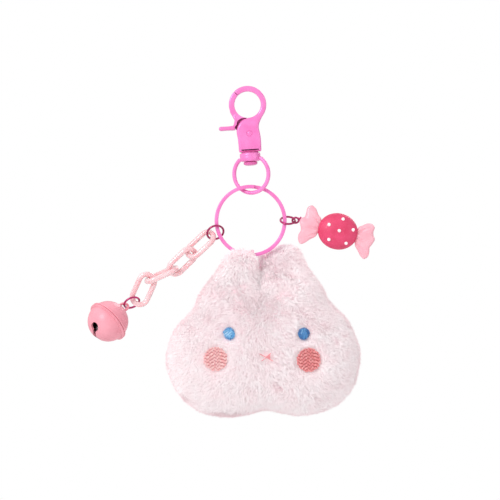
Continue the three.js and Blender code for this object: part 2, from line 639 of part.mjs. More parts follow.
// ---------- plush ----------
const outlinePts = [];
outlinePts.push(NOTCH);
for (const p of EAR_RIGHT) outlinePts.push(p);
for (const [w, z] of SIDE_RIGHT) outlinePts.push([PLUSH_X + w, z]);
outlinePts.push([PLUSH_X + FOOT_DIP[0], FOOT_DIP[1]]);
for (const [w, z] of SIDE_LEFT.slice().reverse()) outlinePts.push([PLUSH_X - w, z]);
for (const p of EAR_LEFT) outlinePts.push(p);
const curve = new THREE.CatmullRomCurve3(outlinePts.map(([x, z]) => V(x, 0, z)), true, 'centripetal');
const AROUND = 52;
const dense = curve.getPoints(720);
function outlineRadius(angle) {
  // furthest crossing of the outline along one direction from the plush centre
  let best = 0;
  const d = V(Math.cos(angle), 0, Math.sin(angle));
  for (let i = 0; i < dense.length - 1; i++) {
    const ax = dense[i].x - PLUSH_X;
    const az = dense[i].z - PLUSH_Z;
    const bx = dense[i + 1].x - PLUSH_X;
    const bz = dense[i + 1].z - PLUSH_Z;
    const ca = d.x * az - d.z * ax;
    const cb = d.x * bz - d.z * bx;
    if (ca === cb || (ca > 0) === (cb > 0)) continue;
    const t = ca / (ca - cb);
    const r = (ax + (bx - ax) * t) * d.x + (az + (bz - az) * t) * d.z;
    if (r > best) best = r;
  }
  return best;
}
// directions crowd together around the ears
const angles = [];
for (let i = 0; i < AROUND; i++) {
  const t = i / AROUND * 2 * Math.PI;
  angles.push(Math.PI / 2 + t - 0.62 * Math.sin(t));
}
const notchAngle = Math.atan2(NOTCH[1] - PLUSH_Z, NOTCH[0] - PLUSH_X);
const turn = notchAngle - angles[0];
for (let i = 0; i < AROUND; i++) angles[i] += turn;
const radii = angles.map(outlineRadius);

function earWeight(z) {
  return THREE.MathUtils.smoothstep(z, -88, -71);
}
function halfThick(x, z) {
  const w = THREE.MathUtils.smoothstep(z, -98, -70);
  const crease = 1 - 0.3 * Math.exp(-Math.pow((x - NOTCH[0]) / 3, 2)) * earWeight(z);
  return (PLUSH_T + (EAR_T - PLUSH_T) * w) * crease;
}
function midPlane(x, z) {
  return EAR_SHIFT * Math.tanh((x - NOTCH[0]) / 2.6) * THREE.MathUtils.smoothstep(z, -82, -69);
}
function bulge(rho) {
  return Math.pow(Math.max(0, 1 - Math.pow(rho, 2.3)), 0.6);
}
// one ring of the pillow surface; k = -1 front, +1 back
function plushRing(rho, scale, k, less, lift) {
  return angles.map((a, i) => {
    const x = PLUSH_X + radii[i] * rho * scale * Math.cos(a);
    const z = PLUSH_Z + radii[i] * rho * scale * Math.sin(a);
    const t = Math.max(0.5, halfThick(x, z) - less);
    return V(x, midPlane(x, z) + k * (lift + t * bulge(rho)), z);
  });
}
const RHOS = [0.3, 0.58, 0.8, 0.93];
function plushShell(k) {
  const rings = [];
  for (const r of RHOS) rings.push(plushRing(r, 1, k, 0, 0.95));
  rings.push(plushRing(1, 1, k, 0, 0.95));
  rings.push(plushRing(1, 1, k, 0, 0.22));
  rings.push(plushRing(1, 0.94, k, 99, 0.22));
  for (const r of RHOS.slice().reverse()) rings.push(plushRing(r, 0.94, k, FABRIC, 0.22));
  const c = V(PLUSH_X, 0, PLUSH_Z);
  const out = c.clone().setY(k * (0.95 + halfThick(c.x, c.z)));
  const inn = c.clone().setY(k * (0.22 + halfThick(c.x, c.z) - FABRIC));
  return loft(rings, false, out, inn);
}
add('plush_front', plushShell(-1), fur);
add('plush_back', plushShell(1), fur);

const FILL = 0.91;
const FILL_GAP = 0.9;
const FILL_TOP = -83.5;          // the ears are empty cloth
const fillRings = [];
const fullRadii = radii.slice();
angles.forEach((a, i) => {
  const limit = Math.sin(a) > 0.05 ? (FILL_TOP - PLUSH_Z) / Math.sin(a) / FILL : 1e9;
  radii[i] = Math.min(fullRadii[i], limit);
});
for (const r of RHOS) fillRings.push(plushRing(r, FILL, -1, FABRIC + FILL_GAP, 0));
fillRings.push(plushRing(1, FILL, -1, FABRIC + FILL_GAP, 0));
for (const r of RHOS.slice().reverse()) fillRings.push(plushRing(r, FILL, 1, FABRIC + FILL_GAP, 0));
const fillT = halfThick(PLUSH_X, PLUSH_Z) - FABRIC - FILL_GAP;
add('plush_stuffing', loft(fillRings, false, V(PLUSH_X, -fillT, PLUSH_Z), V(PLUSH_X, fillT, PLUSH_Z)), filling);
fullRadii.forEach((r, i) => {
  radii[i] = r;
});

// loop sewn between the ears, round the bottom of the split ring
const LOOP_R = 3.0;
const LOOP_WIRE = 0.5;
const loopTop = RING_Z - RING_R_OUT + RING_BAND + LOOP_WIRE + 0.5;
add('hang_loop', hoop(V(RING_X, 0, loopTop - LOOP_R), ringSide, LOOP_R, LOOP_WIRE, 22, 6), ribbon);

// ---------- face ----------
function frontAt(x, z) {
  const a = Math.atan2(z - PLUSH_Z, x - PLUSH_X);
  const rho = Math.hypot(x - PLUSH_X, z - PLUSH_Z) / outlineRadius(a);
  return midPlane(x, z) - 0.95 - halfThick(x, z) * bulge(rho);
}
function faceFrame(x, z) {
  const e = 1.5;
  const gx = (frontAt(x + e, z) - frontAt(x - e, z)) / (2 * e);
  const gz = (frontAt(x, z + e) - frontAt(x, z - e)) / (2 * e);
  const n = V(gx, -1, gz).normalize();
  const side = V(1, 0, 0).addScaledVector(n, -n.x).normalize();
  return { p: V(x, frontAt(x, z), z), n, side, up: side.clone().cross(n).negate() };
}
function patch(name, x, z, a, c, h, material, clear) {
  const f = faceFrame(x, z);
  const base = f.p.clone().addScaledVector(f.n, clear);
  const rings = [];
  for (const [r, k] of [[1, 0], [0.85, 0.7]]) {
    rings.push(round(1, 18).map(([p, q]) => base.clone().addScaledVector(f.side, p * r * a)
      .addScaledVector(f.up, q * r * c).addScaledVector(f.n, k * h)));
  }
  add(name, loft(rings, false, base, base.clone().addScaledVector(f.n, h)), material);
}
patch('eye_left', -13.8, -99.9, 2.4, 2.65, 1.1, eyeBlueL, 0.5);
patch('eye_right', 16.4, -101.9, 2.4, 2.65, 1.1, eyeBlueR, 0.5);
patch('cheek_left', -20.0, -109.8, 4.9, 4.7, 0.8, blushL, 0.6);
patch('cheek_right', 17.8, -112.6, 4.9, 4.7, 0.8, blushR, 0.6);

function faceBar(f, x0, z0, x1, z1, w, h) {
  const at = (x, z) => f.p.clone().addScaledVector(f.side, x).addScaledVector(f.up, z).addScaledVector(f.n, 0.5);
  const d = V(0, 0, 0).addScaledVector(f.side, x1 - x0).addScaledVector(f.up, z1 - z0).normalize();
  const s = d.clone().cross(f.n).normalize();
  return sweep([{ p: at(x0, z0), side: s, up: f.n }, { p: at(x1, z1), side: s, up: f.n }],
    [[-w / 2, 0], [w / 2, 0], [w / 2, h], [-w / 2, h]], false);
}
const nf = faceFrame(0.4, -110);
const noseSpan = 2.9;
add('nose_patch', loft([0, 0.7].map((h) => [[-1.5, 2.0], [1.5, 2.0], [1.7, 1.6], [0.15, 0.45], [-0.15, 0.45],
  [-1.7, 1.6]].map(([a, b]) => nf.p.clone().addScaledVector(nf.side, a).addScaledVector(nf.up, b)
  .addScaledVector(nf.n, 0.5 + h))), false), blushR);
add('mouth_stitch', fromManifold(join(faceBar(nf, -noseSpan, -2.1, 0.25, -0.2, 0.6, 0.55),
  faceBar(nf, noseSpan, -2.1, -0.25, -0.2, 0.6, 0.55))), blushR);

// cleaned meshes
group.traverse((o) => {
  if (!o.isMesh) return;
  const g = o.geometry;
  g.deleteAttribute('normal');
  g.deleteAttribute('uv');
  o.geometry = mergeVertices(g, 1e-4);
  o.geometry.computeVertexNormals();
});

export default group;
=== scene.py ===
import math

import bpy
import bmesh
import numpy as np
from mathutils import Matrix, Vector
from mathutils.bvhtree import BVHTree
from mathutils.kdtree import KDTree


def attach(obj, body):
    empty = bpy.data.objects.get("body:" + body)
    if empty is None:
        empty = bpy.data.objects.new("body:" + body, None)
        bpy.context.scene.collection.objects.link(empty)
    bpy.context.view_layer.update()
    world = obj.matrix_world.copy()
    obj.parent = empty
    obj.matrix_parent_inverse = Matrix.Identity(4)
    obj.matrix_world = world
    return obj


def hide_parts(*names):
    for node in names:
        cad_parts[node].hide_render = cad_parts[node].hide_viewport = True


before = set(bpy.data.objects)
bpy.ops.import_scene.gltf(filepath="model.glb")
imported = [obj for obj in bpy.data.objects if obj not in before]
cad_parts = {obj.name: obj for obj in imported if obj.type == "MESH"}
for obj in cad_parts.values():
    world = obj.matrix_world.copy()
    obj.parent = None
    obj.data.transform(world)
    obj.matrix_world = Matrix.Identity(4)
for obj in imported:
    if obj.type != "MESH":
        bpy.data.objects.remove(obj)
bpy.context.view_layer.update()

MM = 0.001
TAU = 2 * math.pi
rad = math.radians


# ---------------------------------------------------------------- materials
def new_material(name):
    m = bpy.data.materials.new(name)
    m.use_nodes = True
    return m, m.node_tree, m.node_tree.nodes["Principled BSDF"]


def fill(node, values):
    """Sets inputs by name, each to a value or linked to an output."""
    for key, value in values.items():
        if isinstance(value, bpy.types.NodeSocket):
            node.id_data.links.new(value, node.inputs[key])
        else:
            node.inputs[key].default_value = value
    return node


def add(nt, kind, values=None):
    return fill(nt.nodes.new("ShaderNode" + kind), values or {})


def ramp(nt, fac, stops):
    r = add(nt, "ValToRGB", {"Fac": fac})
    els = r.color_ramp.elements
    while len(els) < len(stops):
        els.new(0.5)
    for e, (p, c) in zip(els, stops):
        e.position = p
        e.color = (*c, 1)
    return r.outputs["Color"]


def srgb(hexa):
    out = []
    for i in (1, 3, 5):
        v = int(hexa[i:i + 2], 16) / 255
        out.append(v / 12.92 if v <= 0.04045 else ((v + 0.055) / 1.055) ** 2.4)
    return tuple(out)


def obj_coords(nt):
    return add(nt, "TexCoord").outputs["Object"]


def obj_noise(nt, scale, detail=2.0, rough=0.5):
    values = {"Scale": scale, "Detail": detail, "Roughness": rough, "Vector": obj_coords(nt)}
    return add(nt, "TexNoise", values).outputs["Fac"]


def patchy(nt, scale, light, dark, spread=0.2, rough=0.5):
    """Noise between two shades, with its stops this far either side of the middle."""
    stops = [(0.5 - spread, srgb(dark)), (0.5 + spread, srgb(light))]
    return ramp(nt, obj_noise(nt, scale, 3, rough), stops)


def mix(nt, factor, a, b, blend="MIX"):
    mx = add(nt, "Mix")
    mx.data_type = "RGBA"
    mx.blend_type = blend
    return fill(mx, {"Factor": factor, "A": a, "B": b}).outputs["Result"]


def attribute(nt, name):
    at = add(nt, "Attribute")
    at.attribute_name = name
    return at.outputs["Fac"]


def enamel(name, light, dark, rough=0.32, metallic=0.1, coat=0.3, scale=160):
    """Painted metal: slightly uneven colour and gloss under a clear coat."""
    m, nt, b = new_material(name)
    gloss = add(nt, "MapRange", {"Value": obj_noise(nt, scale * 6), "To Min": rough * 0.8,
                                 "To Max": rough * 1.25})
    bump = add(nt, "Bump", {"Height": obj_noise(nt, scale * 3), "Strength": 0.03, "Distance": 0.0002})
    fill(b, {"Base Color": patchy(nt, scale, light, dark, 0.15), "Roughness": gloss.outputs["Result"],
             "Normal": bump.outputs["Normal"], "Metallic": metallic, "Coat Weight": coat,
             "Coat Roughness": 0.22})
    return m


def acrylic(name, light, dark):
    """Milky plastic that light passes a little way into."""
    m, nt, b = new_material(name)
    fill(b, {"Base Color": patchy(nt, 220, light, dark), "Roughness": 0.2, "IOR": 1.4,
             "Transmission Weight": 0.15, "Subsurface Weight": 0.6, "Subsurface Radius": (1.0, 0.75, 0.75),
             "Subsurface Scale": 0.0025, "Coat Weight": 0.8, "Coat Roughness": 0.05})
    return m


def resin(name, light, dark, transmission, rough, coat=0.4, sparkle=None):
    """Moulded plastic, with fine glitter where a sparkle colour is given."""
    m, nt, b = new_material(name)
    colour = patchy(nt, 260, light, dark)
    if sparkle:
        grains = add(nt, "TexVoronoi", {"Scale": 1900, "Vector": obj_coords(nt)})
        glitter = ramp(nt, grains.outputs["Distance"], [(0.0, (1, 1, 1)), (0.22, (0, 0, 0))])
        colour = mix(nt, glitter, colour, (*srgb(sparkle), 1))
    fill(b, {"Base Color": colour, "Roughness": rough, "Transmission Weight": transmission, "IOR": 1.45,
             "Coat Weight": coat, "Coat Roughness": 0.06})
    return m


def cloth(name, light, dark, scale, sheen=0.3):
    m, nt, b = new_material(name)
    fill(b, {"Base Color": patchy(nt, scale, light, dark, rough=0.6), "Roughness": 0.85,
             "Sheen Weight": sheen})
    return m


def thread(name, shades):
    """Embroidery floss: each thread takes its own shade from its tone, under a fine fibre noise."""
    m, nt, b = new_material(name)
    last = len(shades) - 1
    tone = ramp(nt, attribute(nt, "tone"), [(k / last, srgb(c)) for k, c in enumerate(shades)])
    fibre = ramp(nt, obj_noise(nt, 1500), [(0.3, (0.86, 0.86, 0.86)), (0.7, (1, 1, 1))])
    fill(b, {"Base Color": mix(nt, 1.0, tone, fibre, "MULTIPLY"), "Roughness": 0.5, "Sheen Weight": 0.25})
    return m


def fur_material():
    """Patchy pale pink, with painted shade: a little darker at each strand's root, deep in the pile, and
    pinker where the skin turns away round the rim and in the crease.
    """
    m, nt, b = new_material("fur")
    patch = ramp(nt, obj_noise(nt, 210, 4, 0.6),
                 [(0.32, (0.982, 0.92, 0.932)), (0.5, (0.989, 0.946, 0.955)), (0.68, (0.995, 0.972, 0.977))])
    # painted shade: roots a little darker than the white tips, as the pile shades itself
    tip = ramp(nt, attribute(nt, "tip"),
               [(0.0, (0.985, 0.965, 0.972)), (0.45, (0.995, 0.985, 0.988)), (1.0, (1, 1, 1))])
    # painted shade: darker pink where the skin turns sideways round the rim and in the crease between the
    # ears
    rim_and_crease_shade = ramp(nt, attribute(nt, "rim_and_crease_shade"), [(0.45, (1, 1, 1)), (1.0, (0.972, 0.9, 0.912))])
    colour = mix(nt, 1.0, mix(nt, 1.0, patch, tip, "MULTIPLY"), rim_and_crease_shade, "MULTIPLY")
    fill(b, {"Base Color": colour, "Roughness": 0.75, "Sheen Weight": 0.1, "Sheen Roughness": 0.5,
             "Specular IOR Level": 0.2})
    return m


M = {
    "enamel": enamel("pink_enamel", "#f284c8", "#ea74bb"),
    "enamel_dark": enamel("rose_enamel", "#e672b6", "#da64a9"),
    # painted shade: dark maroon for the gate's parts that sit in shade inside the body's slot, and for the
    # seam line
    "enamel_deep": enamel("painted_shade_enamel", "#8e2c66", "#6f1c4e", rough=0.5, coat=0.1),
    "wire": enamel("magenta_wire", "#c23a78", "#9c2058", rough=0.2, metallic=0.55),
    "steel": enamel("spring_steel", "#cdbcc2", "#b3a2a9", rough=0.3, metallic=0.95, coat=0.0),
    # painted shade: near black for the bell's inside, which lies in shade behind the keyhole
    "bell_inside_shade": enamel("bell_inside_painted_shade", "#2a1418", "#1a0c0f", rough=0.7, coat=0.0, metallic=0.0),
    "bell": enamel("bell_paint", "#ec9dab", "#e38c9b", rough=0.42, metallic=0.05, coat=0.15, scale=120),
    "acrylic": acrylic("acrylic", "#fad7da", "#f4bec3"),
    "candy_red": resin("candy_red", "#df4470", "#d23760", 0.0, 0.55, 0.1, sparkle="#f77f9f"),
    "candy_pale": resin("candy_pale", "#fcc2cf", "#f9b2c2", 0.2, 0.38, 0.15),
    "pearl": resin("pearl", "#fff4f6", "#fbe6ec", 0.0, 0.18),
    "pelt": cloth("pelt", "#fdf0f3", "#fbe8ed", 300, 0.1),
    "ribbon": cloth("ribbon", "#f3cdd8", "#e8b7c6", 900),
    # painted shade: the cheek backings are darker than their threads, so the gaps between stitches read as
    # shaded stitch holes
    "cheek_base_l": cloth("cheek_backing_gap_shade_left", "#dc9094", "#cf7d82", 700),
    "cheek_base_r": cloth("cheek_backing_gap_shade_right", "#cf6469", "#c05259", 700),
    "cheek_l": thread("cheek_thread_left", ["#fab9bb", "#fdcbcc", "#ffdada"]),
    "cheek_r": thread("cheek_thread_right", ["#f18b8e", "#f89d9e", "#fcb0b0"]),
    "eye_l": thread("eye_thread_left", ["#2f78ba", "#5ba6dd", "#7dbde8", "#c4e2f5"]),
    "eye_r": thread("eye_thread_right", ["#1d5796", "#3a7fbe", "#4f94cf", "#9ccaea"]),
    "nose": thread("nose_thread", ["#ea8f95", "#f2a3a7"]),
    "fur": fur_material(),
}


# ---------------------------------------------------------------- mesh helpers
DEPTH = Vector((0, 1, 0))
UP = Vector((0, 0, 1))


def add_object(name, data):
    ob = bpy.data.objects.new(name, data)
    bpy.context.scene.collection.objects.link(ob)
    return ob


def solid_mesh(name, verts, faces, weld=False):
    """Mesh with outward normals, from coordinates in mm."""
    me = bpy.data.meshes.new(name)
    me.from_pydata([(x * MM, y * MM, z * MM) for x, y, z in verts], [], faces)
    bm = bmesh.new()
    bm.from_mesh(me)
    if weld:
        bmesh.ops.remove_doubles(bm, verts=bm.verts, dist=1e-7)
    bmesh.ops.recalc_face_normals(bm, faces=bm.faces)
    bm.to_mesh(me)
    bm.free()
    return me


def shade(mesh, sharp=None):
    """Smooth shading, with edges over this angle kept sharp."""
    mesh.polygons.foreach_set("use_smooth", [True] * len(mesh.polygons))
    if sharp:
        mesh.set_sharp_from_angle(angle=rad(sharp))


def dress(mesh, *mats):
    mesh.materials.clear()
    for mat in mats:
        mesh.materials.append(M[mat])


def make(name, verts, faces, mat, body, slot, nodes=(), sharp=None):
    """One visible piece on its body, standing for the named CAD nodes."""
    me = solid_mesh(name, verts, faces, weld=True)
    shade(me, sharp)
    ob = add_object(name, me)
    dress(me, mat)
    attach(ob, body)
    if nodes:
        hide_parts(*nodes)
    return ob


def read(items, prop, dtype=float):
    """A mesh property as rows of three."""
    out = np.empty(len(items) * 3, dtype=dtype)
    items.foreach_get(prop, out)
    return out.reshape(-1, 3)


def point_values(mesh, name, values):
    """Stores a number on each vertex, for a material to read."""
    mesh.attributes.new(name, "FLOAT", "POINT").data.foreach_set("value", values.astype(np.float32))


def loft(rings, closed=False, cap_a=None, cap_b=None):
    n = len(rings[0])
    m = len(rings)
    verts = [tuple(p) for r in rings for p in r]
    faces = []
    for i in range(m if closed else m - 1):
        k = (i + 1) % m
        for j in range(n):
            l = (j + 1) % n
            faces.append((i * n + j, i * n + l, k * n + l, k * n + j))
    if not closed:
        for r, cap in ((0, cap_a), (m - 1, cap_b)):
            c = cap if cap is not None else np.mean(np.array(rings[r], float), axis=0)
            verts.append(tuple(c))
            for j in range(n):
                a, b = r * n + j, r * n + (j + 1) % n
                faces.append((len(verts) - 1, b, a) if r == 0 else (len(verts) - 1, a, b))
    return verts, faces


def round_section(r, n):
    return [(r * math.cos(TAU * (i + 0.5) / n), r * math.sin(TAU * (i + 0.5) / n)) for i in range(n)]


def box_section(w, h, corner):
    n = 3
    pts = []
    for cx, cy, a0 in ((1, 1, 0), (-1, 1, 90), (-1, -1, 180), (1, -1, 270)):
        for i in range(n + 1):
            a = rad(a0 + 90 * i / n)
            pts.append((cx * (w / 2 - corner) + corner * math.cos(a),
                        cy * (h / 2 - corner) + corner * math.sin(a)))
    return pts


def pillow(levels, ring):
    """Rings of a puffed shape: out over the front, round the rim, and in again behind."""
    return [ring(k, r) for k, seq in ((-1, levels), (0, [1.0]), (1, levels[::-1])) for r in seq]


def sweep(frames, section, closed):
    rings = [[p + s * side + u * up for s, u in section] for p, side, up in frames]
    return loft(rings, closed)


def join(*parts):
    verts, faces = [], []
    for v, f in parts:
        k = len(verts)
        verts += list(v)
        faces += [tuple(i + k for i in q) for q in f]
    return verts, faces


def arc_frames(centre, e1, e2, normal, radius, a0, a1, n, closed=False):
    out = []
    for i in range(n if closed else n + 1):
        a = rad(a0 + (a1 - a0) * i / n)
        side = e1 * math.cos(a) + e2 * math.sin(a)
        out.append((centre + side * radius, side, normal))
    return out


def basis(normal):
    n = normal.normalized()
    ref = Vector((1, 0, 0)) if abs(n.z) > 0.9 else Vector((0, 0, 1))
    e1 = ref.cross(n).normalized()
    return e1, n.cross(e1), n


def open_hoop(centre, normal, R, r, gap, start):
    fr = arc_frames(centre, *basis(normal), R, start + gap / 2, start + 360 - gap / 2, 96)
    return sweep(fr, round_section(r, 14), False)


def hoop(centre, normal, R, r, segs, sides):
    return sweep(arc_frames(centre, *basis(normal), R, 0, 360, segs, True), round_section(r, sides), True)


def circle(r, z, segs):
    return [(r * math.cos(TAU * i / segs), r * math.sin(TAU * i / segs), z) for i in range(segs)]


def lathe(profile, segs):
    """Profile of (radius, height) from axis to axis, turned about Z."""
    rings = [circle(r, z, segs) for r, z in profile[1:-1]]
    return loft(rings, False, (0, 0, profile[0][1]), (0, 0, profile[-1][1]))


def place(vf, matrix):
    v, f = vf
    return [tuple(matrix @ Vector(p)) for p in v], f


def axes(x, y, z):
    """Rotation that carries X, Y and Z onto three given axes."""
    return Matrix((x, y, z)).transposed().to_4x4()


def spline(points, per, closed=True):
    """Smooth curve through given points (centripetal Catmull-Rom)."""
    p = [np.array(q, float) for q in points]
    n = len(p)
    out = []
    for i in range(n if closed else n - 1):
        near = (i - 1, i, i + 1, i + 2)
        p0, p1, p2, p3 = (p[k % n] if closed else p[min(max(k, 0), n - 1)] for k in near)
        d = [max(np.linalg.norm(b - a), 1e-6) ** 0.5 for a, b in ((p0, p1), (p1, p2), (p2, p3))]
        m1 = (p2 - p1) + d[1] * ((p1 - p0) / d[0] - (p2 - p0) / (d[0] + d[1]))
        m2 = (p2 - p1) + d[1] * ((p3 - p2) / d[2] - (p3 - p1) / (d[1] + d[2]))
        for k in range(per):
            t = k / per
            out.append((2 * t ** 3 - 3 * t ** 2 + 1) * p1 + (t ** 3 - 2 * t ** 2 + t) * m1
                       + (-2 * t ** 3 + 3 * t ** 2) * p2 + (t ** 3 - t ** 2) * m2)
    if not closed:
        out.append(p[-1])
    return out


def bend(*points, per=6):
    """Open smooth run of a plate's outline."""
    return [tuple(q) for q in spline(points, per, False)]


def plate_mesh(points, thick, bevel, res=4):
    """Flat plate in X-Z with rounded rims, from a 2D curve."""
    cu = bpy.data.curves.new("plate", "CURVE")
    cu.dimensions = "2D"
    cu.fill_mode = "BOTH"
    sp = cu.splines.new("POLY")
    sp.points.add(len(points) - 1)
    for q, (x, z) in zip(sp.points, points):
        q.co = (x, z, 0, 1)
    sp.use_cyclic_u = True
    cu.extrude = thick / 2 - bevel
    cu.bevel_depth = bevel
    cu.bevel_resolution = res
    cu.offset = -bevel
    ob = add_object("plate", cu)
    me = bpy.data.meshes.new_from_object(ob)
    verts = [(v.co.x, -v.co.z, v.co.y) for v in me.vertices]
    faces = [tuple(p.vertices) for p in me.polygons]
    bpy.data.objects.remove(ob)
    bpy.data.curves.remove(cu)
    bpy.data.meshes.remove(me)
    return verts, faces


def arc2(cx, cz, r, a0, a1, n):
    return [(cx + r * math.cos(rad(a0 + (a1 - a0) * i / n)), cz + r * math.sin(rad(a0 + (a1 - a0) * i / n)))
            for i in range(n + 1)]


def modified(ob, *mods):
    """Adds modifiers and applies them all."""
    for kind, props in mods:
        m = ob.modifiers.new(kind.lower(), kind)
        for k, v in props.items():
            setattr(m, k, v)
    dg = bpy.context.evaluated_depsgraph_get()
    me = bpy.data.meshes.new_from_object(ob.evaluated_get(dg))
    ob.modifiers.clear()
    old = ob.data
    ob.data = me
    bpy.data.meshes.remove(old)
    me.name = ob.name


def cut(ob, vf):
    """Boolean difference with a throwaway solid given in mm."""
    cutter = add_object("cutter", solid_mesh("cutter", *vf))
    modified(ob, ("BOOLEAN", {"operation": "DIFFERENCE", "solver": "EXACT", "object": cutter}))
    me = cutter.data
    bpy.data.objects.remove(cutter)
    bpy.data.meshes.remove(me)


def box_vf(x0, x1, y0, y1, z0, z1):
    v = [(x, y, z) for x in (x0, x1) for y in (y0, y1) for z in (z0, z1)]
    f = [(0, 1, 3, 2), (4, 6, 7, 5), (0, 4, 5, 1), (2, 3, 7, 6), (0, 2, 6, 4), (1, 5, 7, 3)]
    return v, f


def cyl_vf(a, b, r, n=40):
    e1, e2, _ = basis(Vector(b) - Vector(a))
    return sweep([(Vector(end), e1, e2) for end in (a, b)], round_section(r, n), False)


def smoothstep(v, a, b):
    t = min(1, max(0, (v - a) / (b - a)))
    return t * t * (3 - 2 * t)


# ---------------------------------------------------------------- clasp
HOOK = (-0.33, -5.5)
R_IN, R_OUT = 5.5, 7.8
PLATE = 5.0
PIN = Vector((-0.24, 0, -17.62))
SPLIT = rad(133)
# at the gate's meeting line: X outwards, Y through the plate, Z round the hook
SPLIT_FRAME = Matrix.Translation(Vector((HOOK[0], 0, HOOK[1]))) @ axes(
    Vector((math.cos(SPLIT), 0, math.sin(SPLIT))), DEPTH, Vector((-math.sin(SPLIT), 0, math.cos(SPLIT))))


def thin_hook(vf, thin, full_at, thin_above=-9.0):
    """The casting is thin round the hook and swells into the body."""
    v, f = vf
    return [(x, y * (thin + (1 - thin) * smoothstep(-z, -thin_above, -full_at)), z) for x, y, z in v], f


def split_block(t0, t1):
    """Block across the hook between two distances from the meeting line."""
    return place(box_vf(3.0, 10.0, -4, 4, t0, t1), SPLIT_FRAME)


def across_pin(y0, y1, r, n=40):
    return cyl_vf((PIN.x, y0, PIN.z), (PIN.x, y1, PIN.z), r, n)


body_line = (arc2(*HOOK, R_OUT, 150, -30, 44)
             + bend((6.1, -9.9), (4.75, -12.0), (3.9, -14.0), (3.75, -15.6), (4.1, -17.8), (4.3, -20.5),
                    (4.2, -24.6))
             + arc2(3.7, -24.7, 0.5, 0, -90, 4) + arc2(-4.6, -24.7, 0.5, -90, -180, 4)
             + bend((-5.15, -24.0), (-5.3, -19.5), (-5.6, -17.0), (-5.5, -15.5), (-4.75, -13.8),
                    (-3.5, -12.3), (-2.2, -11.5), (-1.0, -11.15))
             + arc2(*HOOK, R_IN, -90, 150, 54))
casting = make("clasp_casting", *thin_hook(plate_mesh(body_line, PLATE, 1.05), 0.56, -14.5), "enamel",
               "clasp", "pink_enamel", ["clasp_body"])
cut(casting, box_vf(-9, -0.24, -1.15, 1.15, -21.4, -9.5))
cut(casting, across_pin(-1.15, 1.15, 3.5))
cut(casting, split_block(-0.12, 7))
for sgn in (-1, 1):
    cut(casting, across_pin(sgn * 2.3, sgn * 3.0, 1.32, 32))
shade(casting.data, 50)
modified(casting, ("WEIGHTED_NORMAL", {"keep_sharp": True}))

gate_line = (arc2(*HOOK, R_OUT, 120, 196, 24)
             + bend((-7.75, -8.4), (-6.8, -10.3), (-6.1, -12.0), (-6.2, -13.3), (-7.2, -14.0))
             + [(-9.0, -14.1), (-12.1, -14.05)] + arc2(-12.05, -14.9, 0.85, 100, 260, 8)
             + [(-9.0, -15.72), (-7.2, -15.8)]
             + bend((-6.1, -15.8), (-6.1, -14.6), (-5.6, -13.0), (-5.4, -12.1), (-5.2, -11.0), per=5)
             + arc2(*HOOK, R_IN, 216, 120, 40))
# the tip is a piece of its own: a cut through two overlapping shells would lose it
gate_tip = (arc2(*HOOK, R_IN + 0.03, 262, 215, 16)
            + [(-6.0, -10.3), (-5.7, -13.0), (-4.5, -11.75), (-3.6, -11.15), (-2.4, -11.0)])
GATE_THIN = (0.54, -13.0)
make("gate_tip_blade", *thin_hook(plate_mesh(gate_tip, 4.8, 0.06, 1), *GATE_THIN), "enamel", "gate",
     "pink_enamel", sharp=50)
gate = make("clasp_gate_arm", *thin_hook(plate_mesh(gate_line, PLATE, 0.8), *GATE_THIN), "enamel", "gate",
            "pink_enamel", ["clasp_gate"])
cut(gate, split_block(-7, 0.14))
gate.data.set_sharp_from_angle(angle=rad(50))
# the gate's root, its boss round the pin and the seam box take the dark enamel: painted shade inside the
# slot and in the seam
root = plate_mesh([(-1.2, -10.95), (-3.0, -10.9), (-4.3, -11.4), (-5.7, -13.2), (-6.2, -15.0), (-5.4, -16.0),
                   (-2.4, -17.6), (0.3, -16.6), (-0.6, -14.8), (-0.6, -12.0)], 2.1, 0.15, 1)
seam = place(box_vf(R_IN + 0.25, R_OUT - 0.25, -1.05, 1.05, -0.16, 0.16), SPLIT_FRAME)
make("gate_root", *join(root, across_pin(-0.8, 0.8, 2.9), seam), "enamel_deep", "gate", "pink_enamel",
     sharp=40)
modified(gate, ("WEIGHTED_NORMAL", {"keep_sharp": True}))

# pin with low domed heads
head = [(0, 0), (0.5, -0.02), (0.85, -0.1), (1.05, -0.28), (1.05, -0.5), (0, -0.5)]
pin_parts = [across_pin(-2.4, 2.4, 0.8)]
for sgn in (-1, 1):
    seat = Matrix.Translation(Vector((PIN.x, sgn * 2.58, PIN.z)))
    pin_parts.append(place(lathe(head, 32), seat @ Matrix.Rotation(rad(90 * sgn), 4, "X").inverted()))
make("gate_pin_riveted", *join(*pin_parts), "enamel", "clasp", "rose_enamel", ["gate_pin"], sharp=45)

# swivel: rivet, collar and eye loop
SWIVEL = Vector((-0.64, 0, 0))
rivet = [(0, -22.4), (1.2, -22.4), (1.2, -25.25), (3.5, -25.25), (3.5, -25.5), (1.2, -25.5),
         (1.2, -29.28), (2.55, -29.28), (2.85, -29.5), (2.9, -30.0), (2.7, -30.45), (2.0, -30.78),
         (1.0, -30.92), (0, -30.95)]
make("swivel_rivet_turned", *place(lathe(rivet, 56), Matrix.Translation(SWIVEL)), "enamel_dark", "clasp",
     "rose_enamel", ["swivel_rivet"], sharp=40)
collar = [(1.5, -29.2), (1.5, -25.6), (3.7, -25.6), (4.1, -25.75), (4.3, -26.1), (4.3, -26.7), (4.22, -27.0),
          (4.3, -27.3), (4.3, -28.3), (4.1, -28.8), (3.6, -29.15), (1.6, -29.2)]
collar = place(loft([circle(r, z, 72) for r, z in collar], True), Matrix.Translation(SWIVEL))
EYE_TURN = rad(-25)
EYE_GAP = 70
eye_side = Vector((math.cos(EYE_TURN), math.sin(EYE_TURN), 0))
eye_axis = Vector((-math.sin(EYE_TURN), math.cos(EYE_TURN), 0))
